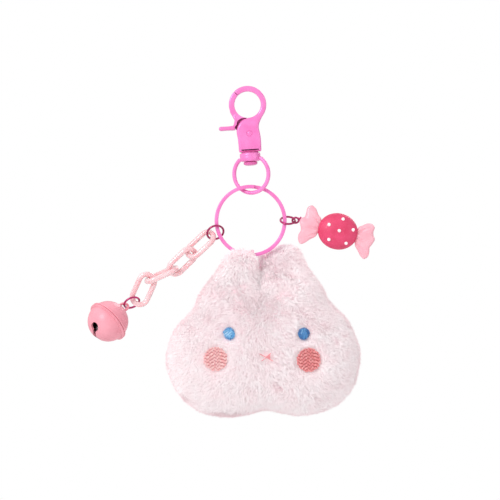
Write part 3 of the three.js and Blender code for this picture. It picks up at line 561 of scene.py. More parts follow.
loop = arc_frames(Vector((SWIVEL.x, 0, -34.4)), eye_side, UP, eye_axis, 7.85, 90 + EYE_GAP / 2,
                  450 - EYE_GAP / 2, 96)
make("swivel_eye_cast", *join(collar, sweep(loop, round_section(0.84, 18), False)), "enamel", "eye",
     "pink_enamel", ["swivel_eye"], sharp=50)

# ---------------------------------------------------------------- split ring
RC = Vector((-2.18, 0, -53.87))
RING_R = 14.25
RT = rad(4)
r_side = Vector((math.cos(RT), math.sin(RT), 0))
r_axis = Vector((-math.sin(RT), math.cos(RT), 0))


def ring_radial(deg):
    return r_side * math.cos(rad(deg)) + Vector((0, 0, math.sin(rad(deg))))


# the wire goes round 690 degrees and steps from one coil to the other half way
band = []
for i in range(361):
    a = 15 + 690 * i / 360
    t = smoothstep(a, 351, 369)
    side = ring_radial(66 + a)
    band.append((RC + side * RING_R + r_axis * (0.52 * (2 * t - 1)), side, r_axis))
make("split_ring", *sweep(band, box_section(1.5, 0.95, 0.3), False), "enamel", "ring", "pink_enamel",
     ["key_ring"], sharp=50)


# ---------------------------------------------------------------- jump rings and chain
WIRE_R = 0.42
LINK_R = 1.2


def jump_ring(name, start, d, radius, tilt, body, node, cut_at):
    """Open wire ring hung from start along d; returns its far side and its normal."""
    d = d.normalized()
    normal = Matrix.Rotation(rad(tilt), 3, d) @ d.cross(DEPTH).normalized()
    centre = start + d * radius
    make(name, *open_hoop(centre, normal, radius, WIRE_R + 0.02, 3.5, cut_at), "wire", body, "magenta_wire",
         [node], sharp=50)
    return centre + d * radius, normal


LINK_A = 15.6 / 2 - LINK_R
LINK_B = 8.8 / 2 - LINK_R


def acrylic_link(k, start, dip, twist):
    """Oval link hung from start; returns its far end and its direction."""
    u = Vector((-math.cos(rad(dip)), 0, -math.sin(rad(dip))))
    n = Matrix.Rotation(rad(twist), 3, u) @ DEPTH
    w = n.cross(u).normalized()
    c = start + u * LINK_A
    frames = []
    for i in range(120):
        a = TAU * i / 120
        side = u * math.cos(a) + w * math.sin(a)
        s = math.copysign(LINK_A - LINK_B, math.cos(a + 1e-6))
        frames.append((c + u * s + side * LINK_B, side, n))
    # a little slimmer than the CAD link, so that neighbours clear each other at the joints' limits
    make("acrylic_link_%d" % k, *sweep(frames, round_section(LINK_R - 0.08, 32), True), "acrylic",
         "link_%d" % k, "acrylic", ["chain_link_%d" % k])
    return c + u * LINK_A, u


chain_d = ring_radial(194.5)
cj_far, _ = jump_ring("jump_ring_chain", RC + chain_d * 12.0, chain_d, 3.5, 50, "chain_jump",
                      "chain_jump_ring", 60)
start = cj_far - chain_d * (WIRE_R + LINK_R + 0.45)
for k, (dip, twist, lean) in enumerate(((39, 40, 39), (40, -35, 33), (20, 78, 62), (62, 0, 0)), 1):
    link_end, link_dir = acrylic_link(k, start, dip, twist)
    start = link_end + Vector((math.cos(rad(lean)), 0, math.sin(rad(lean)))) * 2.8

# ---------------------------------------------------------------- bell
b_start = link_end - link_dir * (LINK_R + WIRE_R + 0.5)
b_dir = Vector((-0.93, 0, -0.37)).normalized()
bj_far, bj_n = jump_ring("jump_ring_bell", b_start, b_dir, 3.3, 36, "bell_jump", "bell_jump_ring", 200)
rise, back = rad(39.3), rad(27)
b_axis = Vector((math.cos(rise) * math.cos(back), math.sin(back), math.sin(rise) * math.cos(back)))
slot_dir = Vector((0, 0.72, -0.69))
b_side = (slot_dir - b_axis * slot_dir.dot(b_axis)).normalized()
b_third = b_axis.cross(b_side).normalized()
jw = bj_n.cross(b_dir).normalized()
e_n = (jw - b_axis * jw.dot(b_axis)).normalized()
EYE_UP, EYE_R, EYE_WIRE = 9.6, 1.9, 0.55
e_centre = bj_far + b_axis * (WIRE_R + EYE_WIRE + 0.3) - b_axis * EYE_R
b_centre = e_centre - b_axis * EYE_UP
BF = Matrix.Translation(b_centre) @ axes(b_side, b_third, b_axis)
BELL_R, BELL_WALL, BELL_LIP = 8.4, 0.8, 0.85


def bell_profile(sign):
    """Half shell with a raised lip, outside from pole to rim and inside back again."""
    n = 22
    outside, inside = [], []
    inner = BELL_R - BELL_WALL
    for i in range(n + 1):
        a = i / n * math.pi / 2
        outside.append((BELL_R * math.sin(a), sign * (0.15 + (BELL_R - 0.15) * math.cos(a))))
        inside.append((inner * math.sin(a), sign * (0.12 + (inner - 0.12) * math.cos(a))))
    lip = [(BELL_R, 0.95), (BELL_R + 0.25, 0.8), (BELL_R + BELL_LIP, 0.62), (BELL_R + BELL_LIP, 0.25),
           (BELL_R + BELL_LIP - 0.12, 0.12)]
    return outside[:-1] + [(r, sign * z) for r, z in lip] + inside[::-1]


eye_ring = hoop(Vector((0, 0, EYE_UP)), BF.inverted().to_3x3() @ e_n, EYE_R, EYE_WIRE, 56, 14)
foot = lathe([(0, 8.9), (1.1, 8.9), (1.5, 8.5), (1.9, 8.15), (1.9, 7.9), (0, 7.9)], 40)
bell_top = join(lathe(bell_profile(1), 96), eye_ring, foot)
cap = make("bell_cap_pressed", *place(bell_top, BF), "bell", "bell", "bell_paint", ["bell_cap"], sharp=55)
cup = make("bell_cup_pressed", *place(lathe(bell_profile(-1), 96), BF), "bell", "bell", "bell_paint",
           ["bell_cup"], sharp=55)
# keyhole: a slot over the pole with a round hole at each end
reach = (BELL_R - 0.4) * math.sin(rad(26))
cut(cup, place(box_vf(-reach, reach, -0.8, 0.8, -BELL_R - 2, -4), BF))
for end in (-reach, reach):
    cut(cup, place(cyl_vf((end, 0, -BELL_R - 2), (end, 0, -4), 1.9), BF))
shade(cup.data, 45)
# painted shade: faces inside the wall get the near-black material, as the hollow is dark behind the keyhole
for shell in (cup, cap):
    dress(shell.data, "bell", "bell_inside_shade")
    for p in shell.data.polygons:
        p.material_index = int((p.center / MM - b_centre).length < BELL_R - BELL_WALL + 0.05)

# ---------------------------------------------------------------- candy
c_dir = ring_radial(-3)
kj_far, kj_n = jump_ring("jump_ring_candy", RC + c_dir * 12.5, c_dir, 3.05, 30, "candy_jump",
                         "candy_jump_ring", 120)
CD = rad(17.7)
CF = Matrix.Translation(Vector((33.8, 0, -60.6))) @ axes(
    Vector((math.cos(CD), 0, -math.sin(CD))), DEPTH, Vector((math.sin(CD), 0, math.cos(CD))))
CA, CB, CC = 8.4, 4.4, 7.6


def disc_y(rho):
    return CB * max(0.0, 1 - rho ** 2.6) ** 0.55


def disc_ring(k, r):
    return [(CA * r * math.cos(TAU * i / 96), k * disc_y(r), CC * r * math.sin(TAU * i / 96))
            for i in range(96)]


rings = pillow([0.12, 0.25, 0.4, 0.55, 0.68, 0.78, 0.86, 0.92, 0.96, 0.985], disc_ring)
make("candy_disc_domed", *place(loft(rings, False, (0, -CB, 0), (0, CB, 0)), CF), "candy_red", "candy",
     "candy_red", ["candy_disc"])

WING_L = [(-7.9, 3.3), (-9.6, 5.0), (-11.4, 7.3), (-13.2, 7.9), (-14.6, 6.6), (-14.7, 4.4), (-14.9, 2.6),
          (-16.2, 1.6), (-16.5, 0.2), (-15.6, -1.6), (-15.1, -3.2), (-15.6, -5.2), (-15.2, -7.4),
          (-14.0, -8.8), (-12.6, -8.3), (-10.6, -6.2), (-8.3, -3.9)]
WING_R = [(7.9, 3.6), (9.4, 4.9), (11.2, 6.2), (13.2, 6.4), (14.5, 5.3), (14.5, 3.3), (14.9, 1.9),
          (15.8, 0.5), (15.2, -1.8), (14.5, -3.4), (14.8, -5.2), (14.7, -7.2), (13.3, -8.6), (11.6, -7.7),
          (9.9, -5.8), (8.2, -3.7)]
PLEATS = ((1.5, 0.72), (-1.0, -0.1), (-3.0, -0.55))


def wing(name, line, node):
    """Soft moulded fan: puffed between pleats that spread from the disc."""
    sgn = math.copysign(1, line[0][0])
    out = spline(line, 11)
    cx, cz = sgn * 11.4, -0.6

    def half(x, z, rho):
        near = 1 - smoothstep(abs(x), 8.4, 13.6)
        groove = 0
        for z0, slope in PLEATS:
            off = z - z0 - slope * (abs(x) - 8.2)
            groove += math.exp(-(off / 0.5) ** 2)
        swell = 0.5 + 0.5 * math.cos((z + 0.3) * 1.5)
        return max(0.0, 1 - rho ** 3.2) ** 0.5 * (1.2 - 0.75 * near * groove + 0.22 * swell)

    def lift(x, z):
        return 0.5 * math.sin(z * 0.55 + sgn) * smoothstep(abs(x), 9, 15)

    def ring(k, r):
        flat = [(cx + (p[0] - cx) * r, cz + (p[1] - cz) * r) for p in out]
        return [(x, lift(x, z) + k * half(x, z, r), z) for x, z in flat]

    rings = pillow([0.06 + 0.9 * (i / 24) ** 0.9 for i in range(25)] + [0.985], ring)
    y, t = lift(cx, cz), half(cx, cz, 0)
    make(name, *place(loft(rings, False, (cx, y - t, cz), (cx, y + t, cz)), CF), "candy_pale", "candy",
         "candy_pale", [node])


wing("candy_wing_soft_left", WING_L, "candy_wing_left")
wing("candy_wing_soft_right", WING_R, "candy_wing_right")


def front_y(x, z):
    return -disc_y(math.hypot(x / CA, z / CC))


PEARL_R = 0.74
pearl = [(0, 0.72)] + [(PEARL_R * math.sin(rad(a)), 0.72 * math.cos(rad(a))) for a in range(12, 91, 13)]
pearl += [(PEARL_R, -0.1), (0, -0.1)]
for i, (x, z) in enumerate([(0.4, 0.35), (-4.3, 1.8), (0.8, 5.4), (5.9, 2.1), (-2.9, -4.2), (4.4, -4.0)], 1):
    e = 0.05
    gx = (front_y(x + e, z) - front_y(x - e, z)) / (2 * e)
    gz = (front_y(x, z + e) - front_y(x, z - e)) / (2 * e)
    e1, e2, n = basis(Vector((gx, -1, gz)).normalized())
    seat = CF @ Matrix.Translation(Vector((x, front_y(x, z), z)) + n * 0.02) @ axes(e1, e2, n)
    make("candy_pearl_%d" % i, *place(lathe(pearl, 32), seat), "pearl", "candy", "pearl",
         ["candy_dot_%d" % i])

SCREW_R = 1.3
s_c = kj_far - c_dir * (WIRE_R + 0.4 + 0.3) + c_dir * SCREW_R
s_end = s_c + c_dir * SCREW_R
stem = (CF @ Vector((-14.2, 0, 5.2)) - s_end).normalized()
screw = join(hoop(s_c, kj_n.cross(c_dir).normalized(), SCREW_R, 0.42, 48, 12),
             cyl_vf(s_c + c_dir * 1.2, s_end + stem * 1.9, 0.5, 20),
             cyl_vf(s_end + stem * 0.7, s_end + stem * 1.0, 0.95, 28))
make("candy_screw_eye_turned", *screw, "wire", "candy", "magenta_wire", ["candy_screw_eye"], sharp=40)

# ---------------------------------------------------------------- plush body
PX, PZ = -0.3, -104.0
# (distance from the middle, height) down each side
SIDE_R = [(23.4, -77.5), (26.6, -84), (30.2, -90.5), (36.1, -97.5), (38.9, -104.5), (40.5, -111),
          (39.5, -118.5), (37, -125.5), (32, -131.4), (24, -135.1), (13, -136.5)]
SIDE_L = [(21.0, -77.5), (24.9, -84), (30.3, -90.5), (37.1, -97.5), (40.1, -104.5), (41.3, -111),
          (39.6, -118.5), (36.4, -125), (31.4, -130.4), (23.8, -133.9), (13, -135.4)]
TOP_R = [(6.0, -76.5), (14, -74), (19.5, -73.5)]
TOP_L = [(-17.5, -73.5), (-14, -74), (-7.0, -76.5)]
line = ([(-0.3, -80.5)] + TOP_R + [(PX + w, z) for w, z in SIDE_R] + [(PX, -134.2)]
        + [(PX - w, z) for w, z in SIDE_L[::-1]] + TOP_L)
rel = np.array(spline(line, 30)) - np.array([PX, PZ])
out_ang = np.arctan2(rel[:, 1], rel[:, 0])
order = np.argsort(out_ang)
out_rad = np.hypot(rel[:, 0], rel[:, 1])[order]
out_ang = out_ang[order]
out_ang = np.concatenate([out_ang - TAU, out_ang, out_ang + TAU])
out_rad = np.concatenate([out_rad] * 3)


def np_smooth(v, a, b):
    t = np.clip((v - a) / (b - a), 0, 1)
    return t * t * (3 - 2 * t)


def half_thick(x, z):
    crease = 1 - 0.12 * np.exp(-((x + 0.2) / 3) ** 2) * np_smooth(z, -92, -80)
    return (16.5 - 11.5 * np_smooth(z, -98, -72)) * crease


FUR_RISE = 1.7


def pelt_mesh():
    """Closed skin of the plush, a fur's height inside the outline."""
    ang = np.linspace(0, TAU, 220, endpoint=False) + math.pi / 2
    R = np.interp(ang, out_ang, out_rad) - FUR_RISE

    def ring(k, r):
        x = PX + R * r * np.cos(ang)
        z = PZ + R * r * np.sin(ang)
        t = np.maximum(0.4, half_thick(x, z) - FUR_RISE * 0.6)
        return list(zip(x, k * t * (1 - r ** 2.3) ** 0.6, z))

    rings = pillow([0.08, 0.18, 0.3, 0.42, 0.54, 0.65, 0.75, 0.83, 0.9, 0.95, 0.985], ring)
    t0 = float(half_thick(PX, PZ)) - FUR_RISE * 0.6
    return loft(rings, False, (PX, -t0, PZ), (PX, t0, PZ))


# each ear is its own lobe: the left one leans forward of the ring, the right one stands behind it
LOBE_L = [(-27.0, -88), (-21.3, -78), (-17.0, -72.0), (-14.2, -67.4), (-11.6, -64.9), (-8.4, -63.9),
          (-4.6, -64.0), (-1.6, -65.6), (0.0, -68.6), (0.5, -74), (0.6, -80), (-0.2, -87), (-8, -95),
          (-20, -96)]
LOBE_R = [(26.8, -88), (22.5, -78.5), (20.1, -72.6), (18.6, -68.0), (17.2, -64.9), (13.6, -63.8),
          (7.5, -63.9), (3.0, -65.2), (0.0, -67.0), (-1.4, -69.5), (-1.2, -75), (-1.0, -80), (0.2, -87),
          (8, -95), (20, -96)]


def ear_mid(z):
    return 4.9 * smoothstep(z, -80, -69)


def ear_thick(z):
    return 11.5 - 7.6 * smoothstep(z, -93, -68)


def lobe_mesh(points, side):
    cx, cz = side * 11.5, -80.0
    rel = np.array(spline(points, 14)) - np.array([cx, cz])
    shrink = 1 - FUR_RISE * 0.8 / np.hypot(rel[:, 0], rel[:, 1])

    def ring(k, q):
        flat = [(cx + dx * sh * q, cz + dz * sh * q) for (dx, dz), sh in zip(rel, shrink)]
        return [(x, side * ear_mid(z) + k * (ear_thick(z) - FUR_RISE * 0.6) * (1 - q ** 2.6) ** 0.55, z)
                for x, z in flat]

    rings = pillow([0.1, 0.25, 0.42, 0.58, 0.72, 0.83, 0.91, 0.97], ring)
    t0 = ear_thick(cz) - FUR_RISE * 0.6
    y0 = side * ear_mid(cz)
    return loft(rings, False, (cx, y0 - t0, cz), (cx, y0 + t0, cz))


pelt = make("plush_skin", *join(pelt_mesh(), lobe_mesh(LOBE_L, -1), lobe_mesh(LOBE_R, 1)), "pelt", "plush",
            "fur", ["plush_front", "plush_back"])
PELT_REMESH = ("REMESH", {"mode": "VOXEL", "voxel_size": 1.4 * MM, "use_smooth_shade": True})


def puff(ob, cap, frames=20):
    """Inflates the skin as stuffed cloth, by no more than cap; the ears and their crease stay put."""
    modified(ob, PELT_REMESH)
    base = read(ob.data.vertices, "co")
    g = ob.vertex_groups.new(name="stitched")
    x, _, z = base.T / MM
    pin = np.exp(-((x + 0.2) / 2.2) ** 2) * np_smooth(z, -90, -80)
    pin = np.maximum(pin, np_smooth(z, -80, -74))
    for i in np.nonzero(pin > 0.05)[0]:
        g.add([int(i)], float(min(1, pin[i])), "REPLACE")
    m = ob.modifiers.new("cloth", "CLOTH")
    for key, value in {"quality": 6, "mass": 0.15, "use_pressure": True, "uniform_pressure_force": 4,
                       "tension_stiffness": 15, "compression_stiffness": 15, "shear_stiffness": 5,
                       "bending_stiffness": 0.5, "vertex_group_mass": "stitched"}.items():
        setattr(m.settings, key, value)
    m.settings.effector_weights.gravity = 0
    m.collision_settings.use_collision = False
    m.point_cache.frame_start = 1
    m.point_cache.frame_end = frames
    scene = bpy.context.scene
    for f in range(1, frames + 1):
        scene.frame_set(f)
    dg = bpy.context.evaluated_depsgraph_get()
    d = read(ob.evaluated_get(dg).data.vertices, "co") - base
    length = np.linalg.norm(d, axis=1, keepdims=True)
    d *= np.minimum(1, cap * MM / np.maximum(length, 1e-9))
    ob.modifiers.clear()
    ob.data.vertices.foreach_set("co", (base + d).ravel())
    ob.data.update()
    scene.frame_set(1)


modified(pelt, PELT_REMESH, ("SMOOTH", {"factor": 0.5, "iterations": 9}))
puff(pelt, 2.2)
modified(pelt, ("SUBSURF", {"levels": 1, "render_levels": 1}))
dress(pelt.data, "pelt")
shade(pelt.data)


def crease_depth(p):
    """How far into the stitched line between the ears a point lies, 0 to 1."""
    window = np_smooth(p[:, 2], -84.5, -80.5) * (1 - np_smooth(p[:, 2], -69, -67))
    return np.exp(-((p[:, 0] - 0.1) / 1.0) ** 2) * window


pelt_v = read(pelt.data.vertices, "co") / MM
pelt_v[:, 1] -= np.sign(pelt_v[:, 1]) * 1.7 * crease_depth(pelt_v)
pelt.data.vertices.foreach_set("co", (pelt_v * MM).ravel())
pelt.data.update()
pelt.data.calc_loop_triangles()
pelt_t = read(pelt.data.loop_triangles, "vertices", np.int64)
pelt_n = read(pelt.data.vertices, "normal")
tree = BVHTree.FromPolygons([tuple(v) for v in pelt_v], [tuple(t) for t in pelt_t])


# ---------------------------------------------------------------- face
def skin_point(x, z):
    """Point on the front of the skin, seen along +Y."""
    return tree.ray_cast(Vector((x, -60, z)), DEPTH)[0]


def on_skin(x, z, up):
    """Point this far off the front of the skin, and the skin's normal there."""
    e = 1.2
    across = skin_point(x + e, z) - skin_point(x - e, z)
    n = across.cross(skin_point(x, z + e) - skin_point(x, z - e)).normalized()
    if n.y > 0:
        n = -n
    return skin_point(x, z) + n * up, n


def stitch(x0, z0, x1, z1, w, h, base, steps=5):
    """One thread lying on the skin, dipping in at both ends."""
    fr = []
    for i in range(steps + 1):
        t = i / steps
        arch = math.sin(math.pi * t) ** 0.5
        fr.append(on_skin(x0 + (x1 - x0) * t, z0 + (z1 - z0) * t, base + h * (arch - 0.6)))
    out = []
    for i, (p, n) in enumerate(fr):
        d = (fr[min(steps, i + 1)][0] - fr[max(0, i - 1)][0]).normalized()
        side = d.cross(n).normalized()
        thin = 0.55 if i in (0, steps) else 1.0
        out.append((p, side * thin, side.cross(d) * thin))
    section = [(w / 2 * math.cos(TAU * k / 6), w / 2 * 0.8 * math.sin(TAU * k / 6)) for k in range(6)]
    return sweep(out, section, False)


def pad(cx, cz, a, c, base):
    """Low backing under a patch of stitches, its edge sunk into the skin."""
    sink = 1.2
    rings = []
    for r, k in ((1.0, -sink), (0.97, -0.15), (0.85, 0.0), (0.5, 0.0)):
        turn = [TAU * i / 40 for i in range(40)]
        rings.append([tuple(on_skin(cx + a * r * math.cos(t), cz + c * r * math.sin(t), base + k)[0])
                      for t in turn])
    low, high = (on_skin(cx, cz, up)[0] for up in (base - sink, base))
    return loft(rings, False, tuple(low), tuple(high))


rng = np.random.default_rng(7)


def threads(name, parts, mat, slot, nodes=(), tone=None):
    """Makes one piece of many threads, each with its own tone."""
    ob = make(name, *join(*parts), mat, "plush", slot, nodes)
    tone = tone or [rng.random() for _ in parts]
    tones = np.concatenate([np.full(len(v), t) for (v, _), t in zip(parts, tone)])
    point_values(ob.data, "tone", np.resize(tones, len(ob.data.vertices)))


def cheek(name, cx, cz, a, c, mat, backing, node):
    """Satin oval: upright stitches end to end, each row starting at its own offset."""
    base, pitch, length, gap = 1.0, 0.6, 1.35, 0.17
    # painted shade: the dark backing shows through the stitch gaps as shaded holes
    make(name + "_backing", *pad(cx, cz, a * 0.96, c * 0.96, base - 0.3), backing, "plush", "blush", [node])
    parts = []
    for i in range(int(2 * a / pitch) + 2):
        x = cx - a + (i + 0.5) * pitch
        half = c * math.sqrt(max(0, 1 - ((x - cx) / a) ** 2))
        if half < 0.4:
            continue
        z = cz - half - (0, 0.5, 0.25, 0.75)[i % 4] * length
        while z < cz + half:
            z0, z1 = max(z, cz - half), min(z + length, cz + half)
            if z1 - z0 > 0.35:
                j = (rng.random() - 0.5) * 0.08
                parts.append(stitch(x + j, z0 + gap, x - j, z1 - gap, pitch * 1.02, 0.26, base))
            z += length
    threads(name + "_threads", parts, mat, "blush")


CHEEK_L, CHEEK_R = (-20.0, -109.8, 4.9, 5.0), (17.8, -112.6, 4.9, 5.0)
EYE_L, EYE_R = (-13.8, -99.9), (16.4, -101.9)
cheek("cheek_left_satin", *CHEEK_L, "cheek_l", "cheek_base_l", "cheek_left")
cheek("cheek_right_satin", *CHEEK_R, "cheek_r", "cheek_base_r", "cheek_right")


def eye(name, cx, cz, a, c, mat, node, lean):
    """Three layers of crossed stitches with ragged ends."""
    base, width = 1.1, 0.4
    make(name + "_backing", *pad(cx, cz, a * 0.88, c * 0.88, base - 0.25), mat, "plush", "eye_blue", [node])
    parts, tone = [], []
    layers = ((lean, 0.4, 0.0, 0.0), (lean + 58, 0.5, 0.16, 0.35), (lean - 40, 0.75, 0.3, 0.6))
    for layer, (ang, pitch, lift, shade_from) in enumerate(layers):
        d = (math.cos(rad(ang)), math.sin(rad(ang)))
        s = (-d[1], d[0])
        k = -3.0
        while k < 3.0:
            k += pitch * (0.85 + 0.3 * rng.random())
            # chord of the ellipse on the line at offset k along s
            chord = []
            for t in np.linspace(-4, 4, 81):
                x, z = s[0] * k + d[0] * t, s[1] * k + d[1] * t
                if (x / a) ** 2 + (z / c) ** 2 < (0.97 if layer else 1.0) ** 2:
                    chord.append(t)
            if len(chord) < 6:
                continue
            ragged = 0.3 + 1.1 * layer
            t0 = chord[0] + rng.random() * ragged - 0.15
            t1 = chord[-1] - rng.random() * ragged + 0.15
            if t1 - t0 < 0.8:
                continue
            ends = [q for t in (t0, t1) for q in (cx + s[0] * k + d[0] * t, cz + s[1] * k + d[1] * t)]
            parts.append(stitch(*ends, width, 0.38, base + lift))
            tone.append(shade_from + 0.4 * rng.random())
    threads(name + "_threads", parts, mat, "eye_blue", tone=tone)


eye("eye_left_satin", *EYE_L, 2.35, 2.65, "eye_l", "eye_left", 75)
eye("eye_right_satin", *EYE_R, 2.4, 2.6, "eye_r", "eye_right", 110)

nx, nz = 0.5, -110.2
nose_parts = []
for i in range(8):
    t = (i + 0.5) / 8
    x = nx + 0.1 + 1.6 * t
    nose_parts.append(stitch(x, nz + (0.1 - 1.0 * t), x, nz + (0.25 + 1.15 * t), 0.3, 0.22, 1.15, steps=4))
threads("nose_satin", nose_parts, "nose", "blush", ["nose_patch"])
mouth = [stitch(nx + x0, nz + z0, nx + x1, nz + z1, w, h, 1.2) for x0, z0, x1, z1, w, h in (
    (-2.6, 1.6, 0.2, -0.1, 0.34, 0.24), (0.1, 0.0, 2.9, -1.8, 0.34, 0.24),
    (-2.0, -1.4, 0.2, -0.1, 0.3, 0.22), (0.1, 0.1, 2.2, 1.5, 0.34, 0.24))]
threads("mouth_threads", mouth, "nose", "blush", ["mouth_stitch"])

# hang loop: three-strand cord through the ears' seam
loop_c = Vector((RC.x, 0, -69.37))
LOOP_R, LAY_R, LAYS = 3.0, 0.24, 9
cord = []
for s in range(3):
    fr = []
    for i in range(120):
        a = TAU * i / 120
        side = r_axis * math.cos(a) + UP * math.sin(a)
        tw = a * LAYS + TAU * s / 3
        p = loop_c + side * (LOOP_R + LAY_R * math.cos(tw)) + r_side * (LAY_R * math.sin(tw))
        fr.append((p, side, r_side))
    cord.append(sweep(fr, round_section(0.3, 8), True))
make("hang_loop_twisted", *join(*cord), "ribbon", "plush", "ribbon", ["hang_loop"])
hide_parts("plush_stuffing")


# ---------------------------------------------------------------- fur
RING_CLEAR = 2.0
TIP_MAX = 2.5
UV_ROWS = 48


def unit(v):
    return v / np.linalg.norm(v, axis=1, keepdims=True)


def field(p, seed, freq):
    """Smooth pseudo-random vectors from a sum of sines."""
    q = np.random.default_rng(seed)
    out = np.zeros_like(p)
    for _ in range(9):
        k = q.normal(size=3) * freq
        amp = q.normal(size=3)
        out += np.sin(p @ k + q.random() * TAU)[:, None] * amp
    return out / 3


def growth(p, n):
    """Direction the pile lies in: down and away from the middle, with swirls."""
    away = np.stack([(p[:, 0] - PX) * 0.03, np.zeros(len(p)), np.full(len(p), -0.75)], axis=1)
    f = away + field(p, 3, 0.16) * 0.55 + field(p, 5, 0.55) * 0.45
    f -= n * np.sum(f * n, axis=1, keepdims=True)
    f /= np.maximum(np.linalg.norm(f, axis=1, keepdims=True), 1e-6)
    return f


def fur_length(p, n):
    """Which roots to keep, and how long each strand is: short by the stitches and the split ring."""
    keep = np.ones(len(p), bool)
    front = n[:, 1] < -0.2
    short = np.ones(len(p))
    for cx, cz, a, c in (CHEEK_L, CHEEK_R, (*EYE_L, 2.4, 2.7), (*EYE_R, 2.4, 2.6), (0.7, -109.2, 1.5, 1.3)):
        d = np.hypot((p[:, 0] - cx) / a, (p[:, 2] - cz) / c)
        reach = 1.0 + 3.2 / a
        keep &= ~(front & (d < 0.98))
        near = front & (d < reach)
        short[near] = np.minimum(short[near], 0.45 + 0.55 * np_smooth(d[near], 0.98, reach))
    w = p - np.array(RC)
    ax = np.array(r_axis)
    dist = np.hypot(np.linalg.norm(w - (w @ ax)[:, None] * ax, axis=1) - RING_R, w @ ax)
    keep &= dist > RING_CLEAR
    short = np.minimum(short, 0.3 + 0.7 * np_smooth(dist, RING_CLEAR, 5.0))
    return keep, short * (1 - 0.5 * crease_depth(p))


def strand_mesh(name, root, mid, tip, normal, radius, tone, roll):
    """Three-sided tapering strands, with their painted-shade values for root, rim and crease, and a layout
    for baking.
    """
    m = len(root)
    d = unit(tip - root)
    s1 = unit(np.cross(d, normal + 1e-3))
    s2 = np.cross(d, s1)
    verts = np.empty((m, 7, 3))
    for j in range(3):
        a = (TAU * (j / 3 + 0.25) + roll)[:, None]
        o = s1 * np.cos(a) + s2 * np.sin(a)
        verts[:, j] = root + o * radius[:, None]
        verts[:, 3 + j] = mid + o * (radius * 0.8)[:, None]
    verts[:, 6] = tip
    tris = []
    for j in range(3):
        l = (j + 1) % 3
        tris += [(j, l, 3 + l), (j, 3 + l, 3 + j), (3 + j, 3 + l, 6)]
    faces = (np.array(tris)[None] + (np.arange(m) * 7)[:, None, None]).reshape(-1, 3)
    nf = len(faces)
    me = bpy.data.meshes.new(name)
    me.vertices.add(m * 7)
    me.vertices.foreach_set("co", (verts * MM).ravel())
    me.loops.add(nf * 3)
    me.loops.foreach_set("vertex_index", faces.ravel().astype(np.int32))
    me.polygons.add(nf)
    me.polygons.foreach_set("loop_start", np.arange(0, nf * 3, 3, dtype=np.int32))
    me.update(calc_edges=True)
    me.polygons.foreach_set("use_smooth", [False] * nf)
    # how far along its strand each point lies, for the painted shade that darkens the roots
    tips = np.tile(np.array([0, 0, 0, 0.62, 0.62, 0.62, 1.0]), (m, 1)) * (0.85 + 0.3 * tone)[:, None] - 0.05
    point_values(me, "tip", tips.clip(0, 1).ravel())
    # painted shade: strands whose skin faces sideways, or lies in the crease, are tinted darker pink
    rim_and_crease_shade = np.maximum(1 - np.abs(normal[:, 1]), 1.1 * crease_depth(root))
    point_values(me, "rim_and_crease_shade", np.repeat(rim_and_crease_shade, 7))
    # each half of the map holds one side of the plush, in rows as tall as a strand
    u0 = (normal[:, 1] > 0) * 0.5 + 0.01 + 0.48 * (root[:, 0] + 45) / 90
    row = np.floor((root[:, 2] + 140) / 80 * UV_ROWS)
    uv = np.empty((m, 7, 2))
    for j in range(3):
        uv[:, j, 0] = uv[:, 3 + j, 0] = u0 + (j - 1) * 0.0008
        uv[:, j, 1] = (row + 0.06) / UV_ROWS
        uv[:, 3 + j, 1] = (row + 0.5) / UV_ROWS
    uv[:, 6, 0] = u0
    uv[:, 6, 1] = (row + 0.94) / UV_ROWS
    flat = uv.reshape(-1, 2)[faces.ravel()].ravel().clip(0, 1).astype(np.float32)
    me.uv_layers.new(name="OFBake").data.foreach_set("uv", flat)
    return me


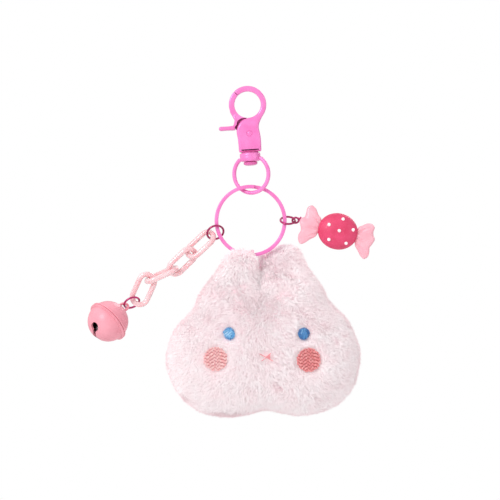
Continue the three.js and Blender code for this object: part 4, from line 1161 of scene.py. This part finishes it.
def fur(pieces, per_piece, clumps=14000):
    """Strands over the whole skin, each pulled part of the way to its clump's tip."""
    total = pieces * per_piece
    r = np.random.default_rng(11)
    tri = pelt_v[pelt_t]
    area = np.linalg.norm(np.cross(tri[:, 1] - tri[:, 0], tri[:, 2] - tri[:, 0]), axis=1) / 2

    def scatter(count):
        """Random points on the skin with their normals, even over its area."""
        pick = r.choice(len(area), size=count, p=area / area.sum())
        u, v = r.random(count), r.random(count)
        flip = u + v > 1
        u[flip], v[flip] = 1 - u[flip], 1 - v[flip]
        w = 1 - u - v
        t = pelt_t[pick]
        p, n = (a[t[:, 0]] * w[:, None] + a[t[:, 1]] * u[:, None] + a[t[:, 2]] * v[:, None]
                for a in (pelt_v, pelt_n))
        return p, unit(n)

    cp, cn = scatter(clumps)
    cf = growth(cp, cn)
    c_rise = 1.6 + 0.5 * r.random(clumps)
    c_len = 1.7 + 1.0 * r.random(clumps)
    jitter = r.normal(size=(clumps, 3)) * 0.5
    clump_tip = cp + cn * c_rise[:, None] + cf * (c_len[:, None] * 0.62) + jitter * 0.6
    kd = KDTree(clumps)
    for i, q in enumerate(cp):
        kd.insert(q, i)
    kd.balance()

    p, n = scatter(int(total * 1.12))
    keep, short = fur_length(p, n)
    p, n, short = p[keep][:total], n[keep][:total], short[keep][:total]
    f = growth(p, n)
    idx = np.array([kd.find(q)[1] for q in p])
    own = p + n * (1.3 + 0.7 * r.random(len(p)))[:, None] + f * (0.9 + 0.9 * r.random(len(p)))[:, None]
    own += r.normal(size=p.shape) * 0.5
    pull = (0.1 + 0.35 * r.random(len(p)))[:, None]
    tip = own * (1 - pull) + (clump_tip[idx] + (p - cp[idx]) * 0.35) * pull
    tip = p + (tip - p) * short[:, None]
    # never under the skin, never far outside
    h = np.sum((tip - p) * n, axis=1)
    tip += n * (np.clip(h, 0.7 * short, TIP_MAX) - h)[:, None]
    mid = p * 0.45 + tip * 0.55 + n * (0.45 * short)[:, None]
    root = p - n * 0.15
    radius = 0.085 + 0.035 * r.random(len(p))
    tone = r.random(len(p))
    for k in range(pieces):
        s = slice(k * per_piece, min((k + 1) * per_piece, len(p)))
        name = "fur_%02d" % (k + 1)
        roll = 0.5 * r.normal(size=len(root[s]))
        ob = add_object(name, strand_mesh(name, root[s], mid[s], tip[s], n[s], radius[s], tone[s], roll))
        dress(ob.data, "fur")
        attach(ob, "plush")


fur(9, 21000)

# the small CAD pieces that stay
for node in ("gate_spring", "bell_pellet"):
    dress(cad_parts[node].data, "steel")

# ---------------------------------------------------------------- floor, light, camera
bpy.ops.mesh.primitive_circle_add(vertices=96, radius=2.4, fill_type="NGON", location=(0, 0, -0.45))
floor = bpy.context.object
floor.name = "studio_floor"
pale, nt, b = new_material("pale_floor")
grey = ramp(nt, obj_noise(nt, 3), [(0.3, (0.84,) * 3), (0.7, (0.87,) * 3)])
fill(b, {"Base Color": grey, "Roughness": 0.9})
floor.data.materials.append(pale)

# the camera sees plain white; the object is lit by a sky that is brighter to the upper left
sc = bpy.context.scene
sc.world = bpy.data.worlds.new("studio")
sc.world.use_nodes = True
nt = sc.world.node_tree
path = add(nt, "LightPath").outputs
seen = add(nt, "Math", {0: path["Is Camera Ray"], 1: path["Is Transmission Ray"]})
seen.operation = "MAXIMUM"
tilt = add(nt, "VectorMath", {0: add(nt, "TexCoord").outputs["Generated"], 1: (-0.62, -0.28, 0.73)})
tilt.operation = "DOT_PRODUCT"
sky = add(nt, "MapRange", {"Value": tilt.outputs["Value"], "From Min": -1.0, "To Min": 0.24, "To Max": 1.06})
power = add(nt, "MapRange", {"Value": seen.outputs["Value"], "To Min": sky.outputs["Result"], "To Max": 1.0})
fill(nt.nodes["Background"], {"Color": (1, 1, 1, 1), "Strength": power.outputs["Result"]})
sc.view_settings.view_transform = "Standard"
sc.cycles.max_bounces = 24
sc.cycles.diffuse_bounces = 16
sc.cycles.transmission_bounces = 12


def disk_light(name, loc, size, watts):
    """Round soft light aimed at the middle of the object."""
    light = bpy.data.lights.new(name, "AREA")
    light.shape = "DISK"
    light.size = size
    light.energy = watts
    ob = add_object(name, light)
    ob.location = loc
    ob.rotation_euler = (Vector((0, 0, -0.075)) - Vector(loc)).to_track_quat("-Z", "Y").to_euler()


disk_light("key", (-0.6, -0.75, 0.45), 0.5, 5.4)
disk_light("fill", (0.8, -0.6, 0.1), 0.6, 1.4)
disk_light("back", (0.5, 0.8, 0.45), 0.7, 3.5)

ROLL = rad(3.7)
VIEW_MM = 208.3
CAMERA_M = 1.1
SENSOR_MM = 36
cam = bpy.data.cameras.new("camera")
cam_ob = add_object("camera", cam)
sc.camera = cam_ob
target = Vector((-3.22, 0, -65.98)) * MM
cam_ob.matrix_world = Matrix.Translation(target - DEPTH * CAMERA_M) @ axes(
    Vector((math.cos(ROLL), 0, -math.sin(ROLL))), Vector((math.sin(ROLL), 0, math.cos(ROLL))), -DEPTH)
cam.sensor_width = SENSOR_MM
cam.lens = SENSOR_MM * CAMERA_M / (VIEW_MM * MM)
cam.clip_start = 0.01
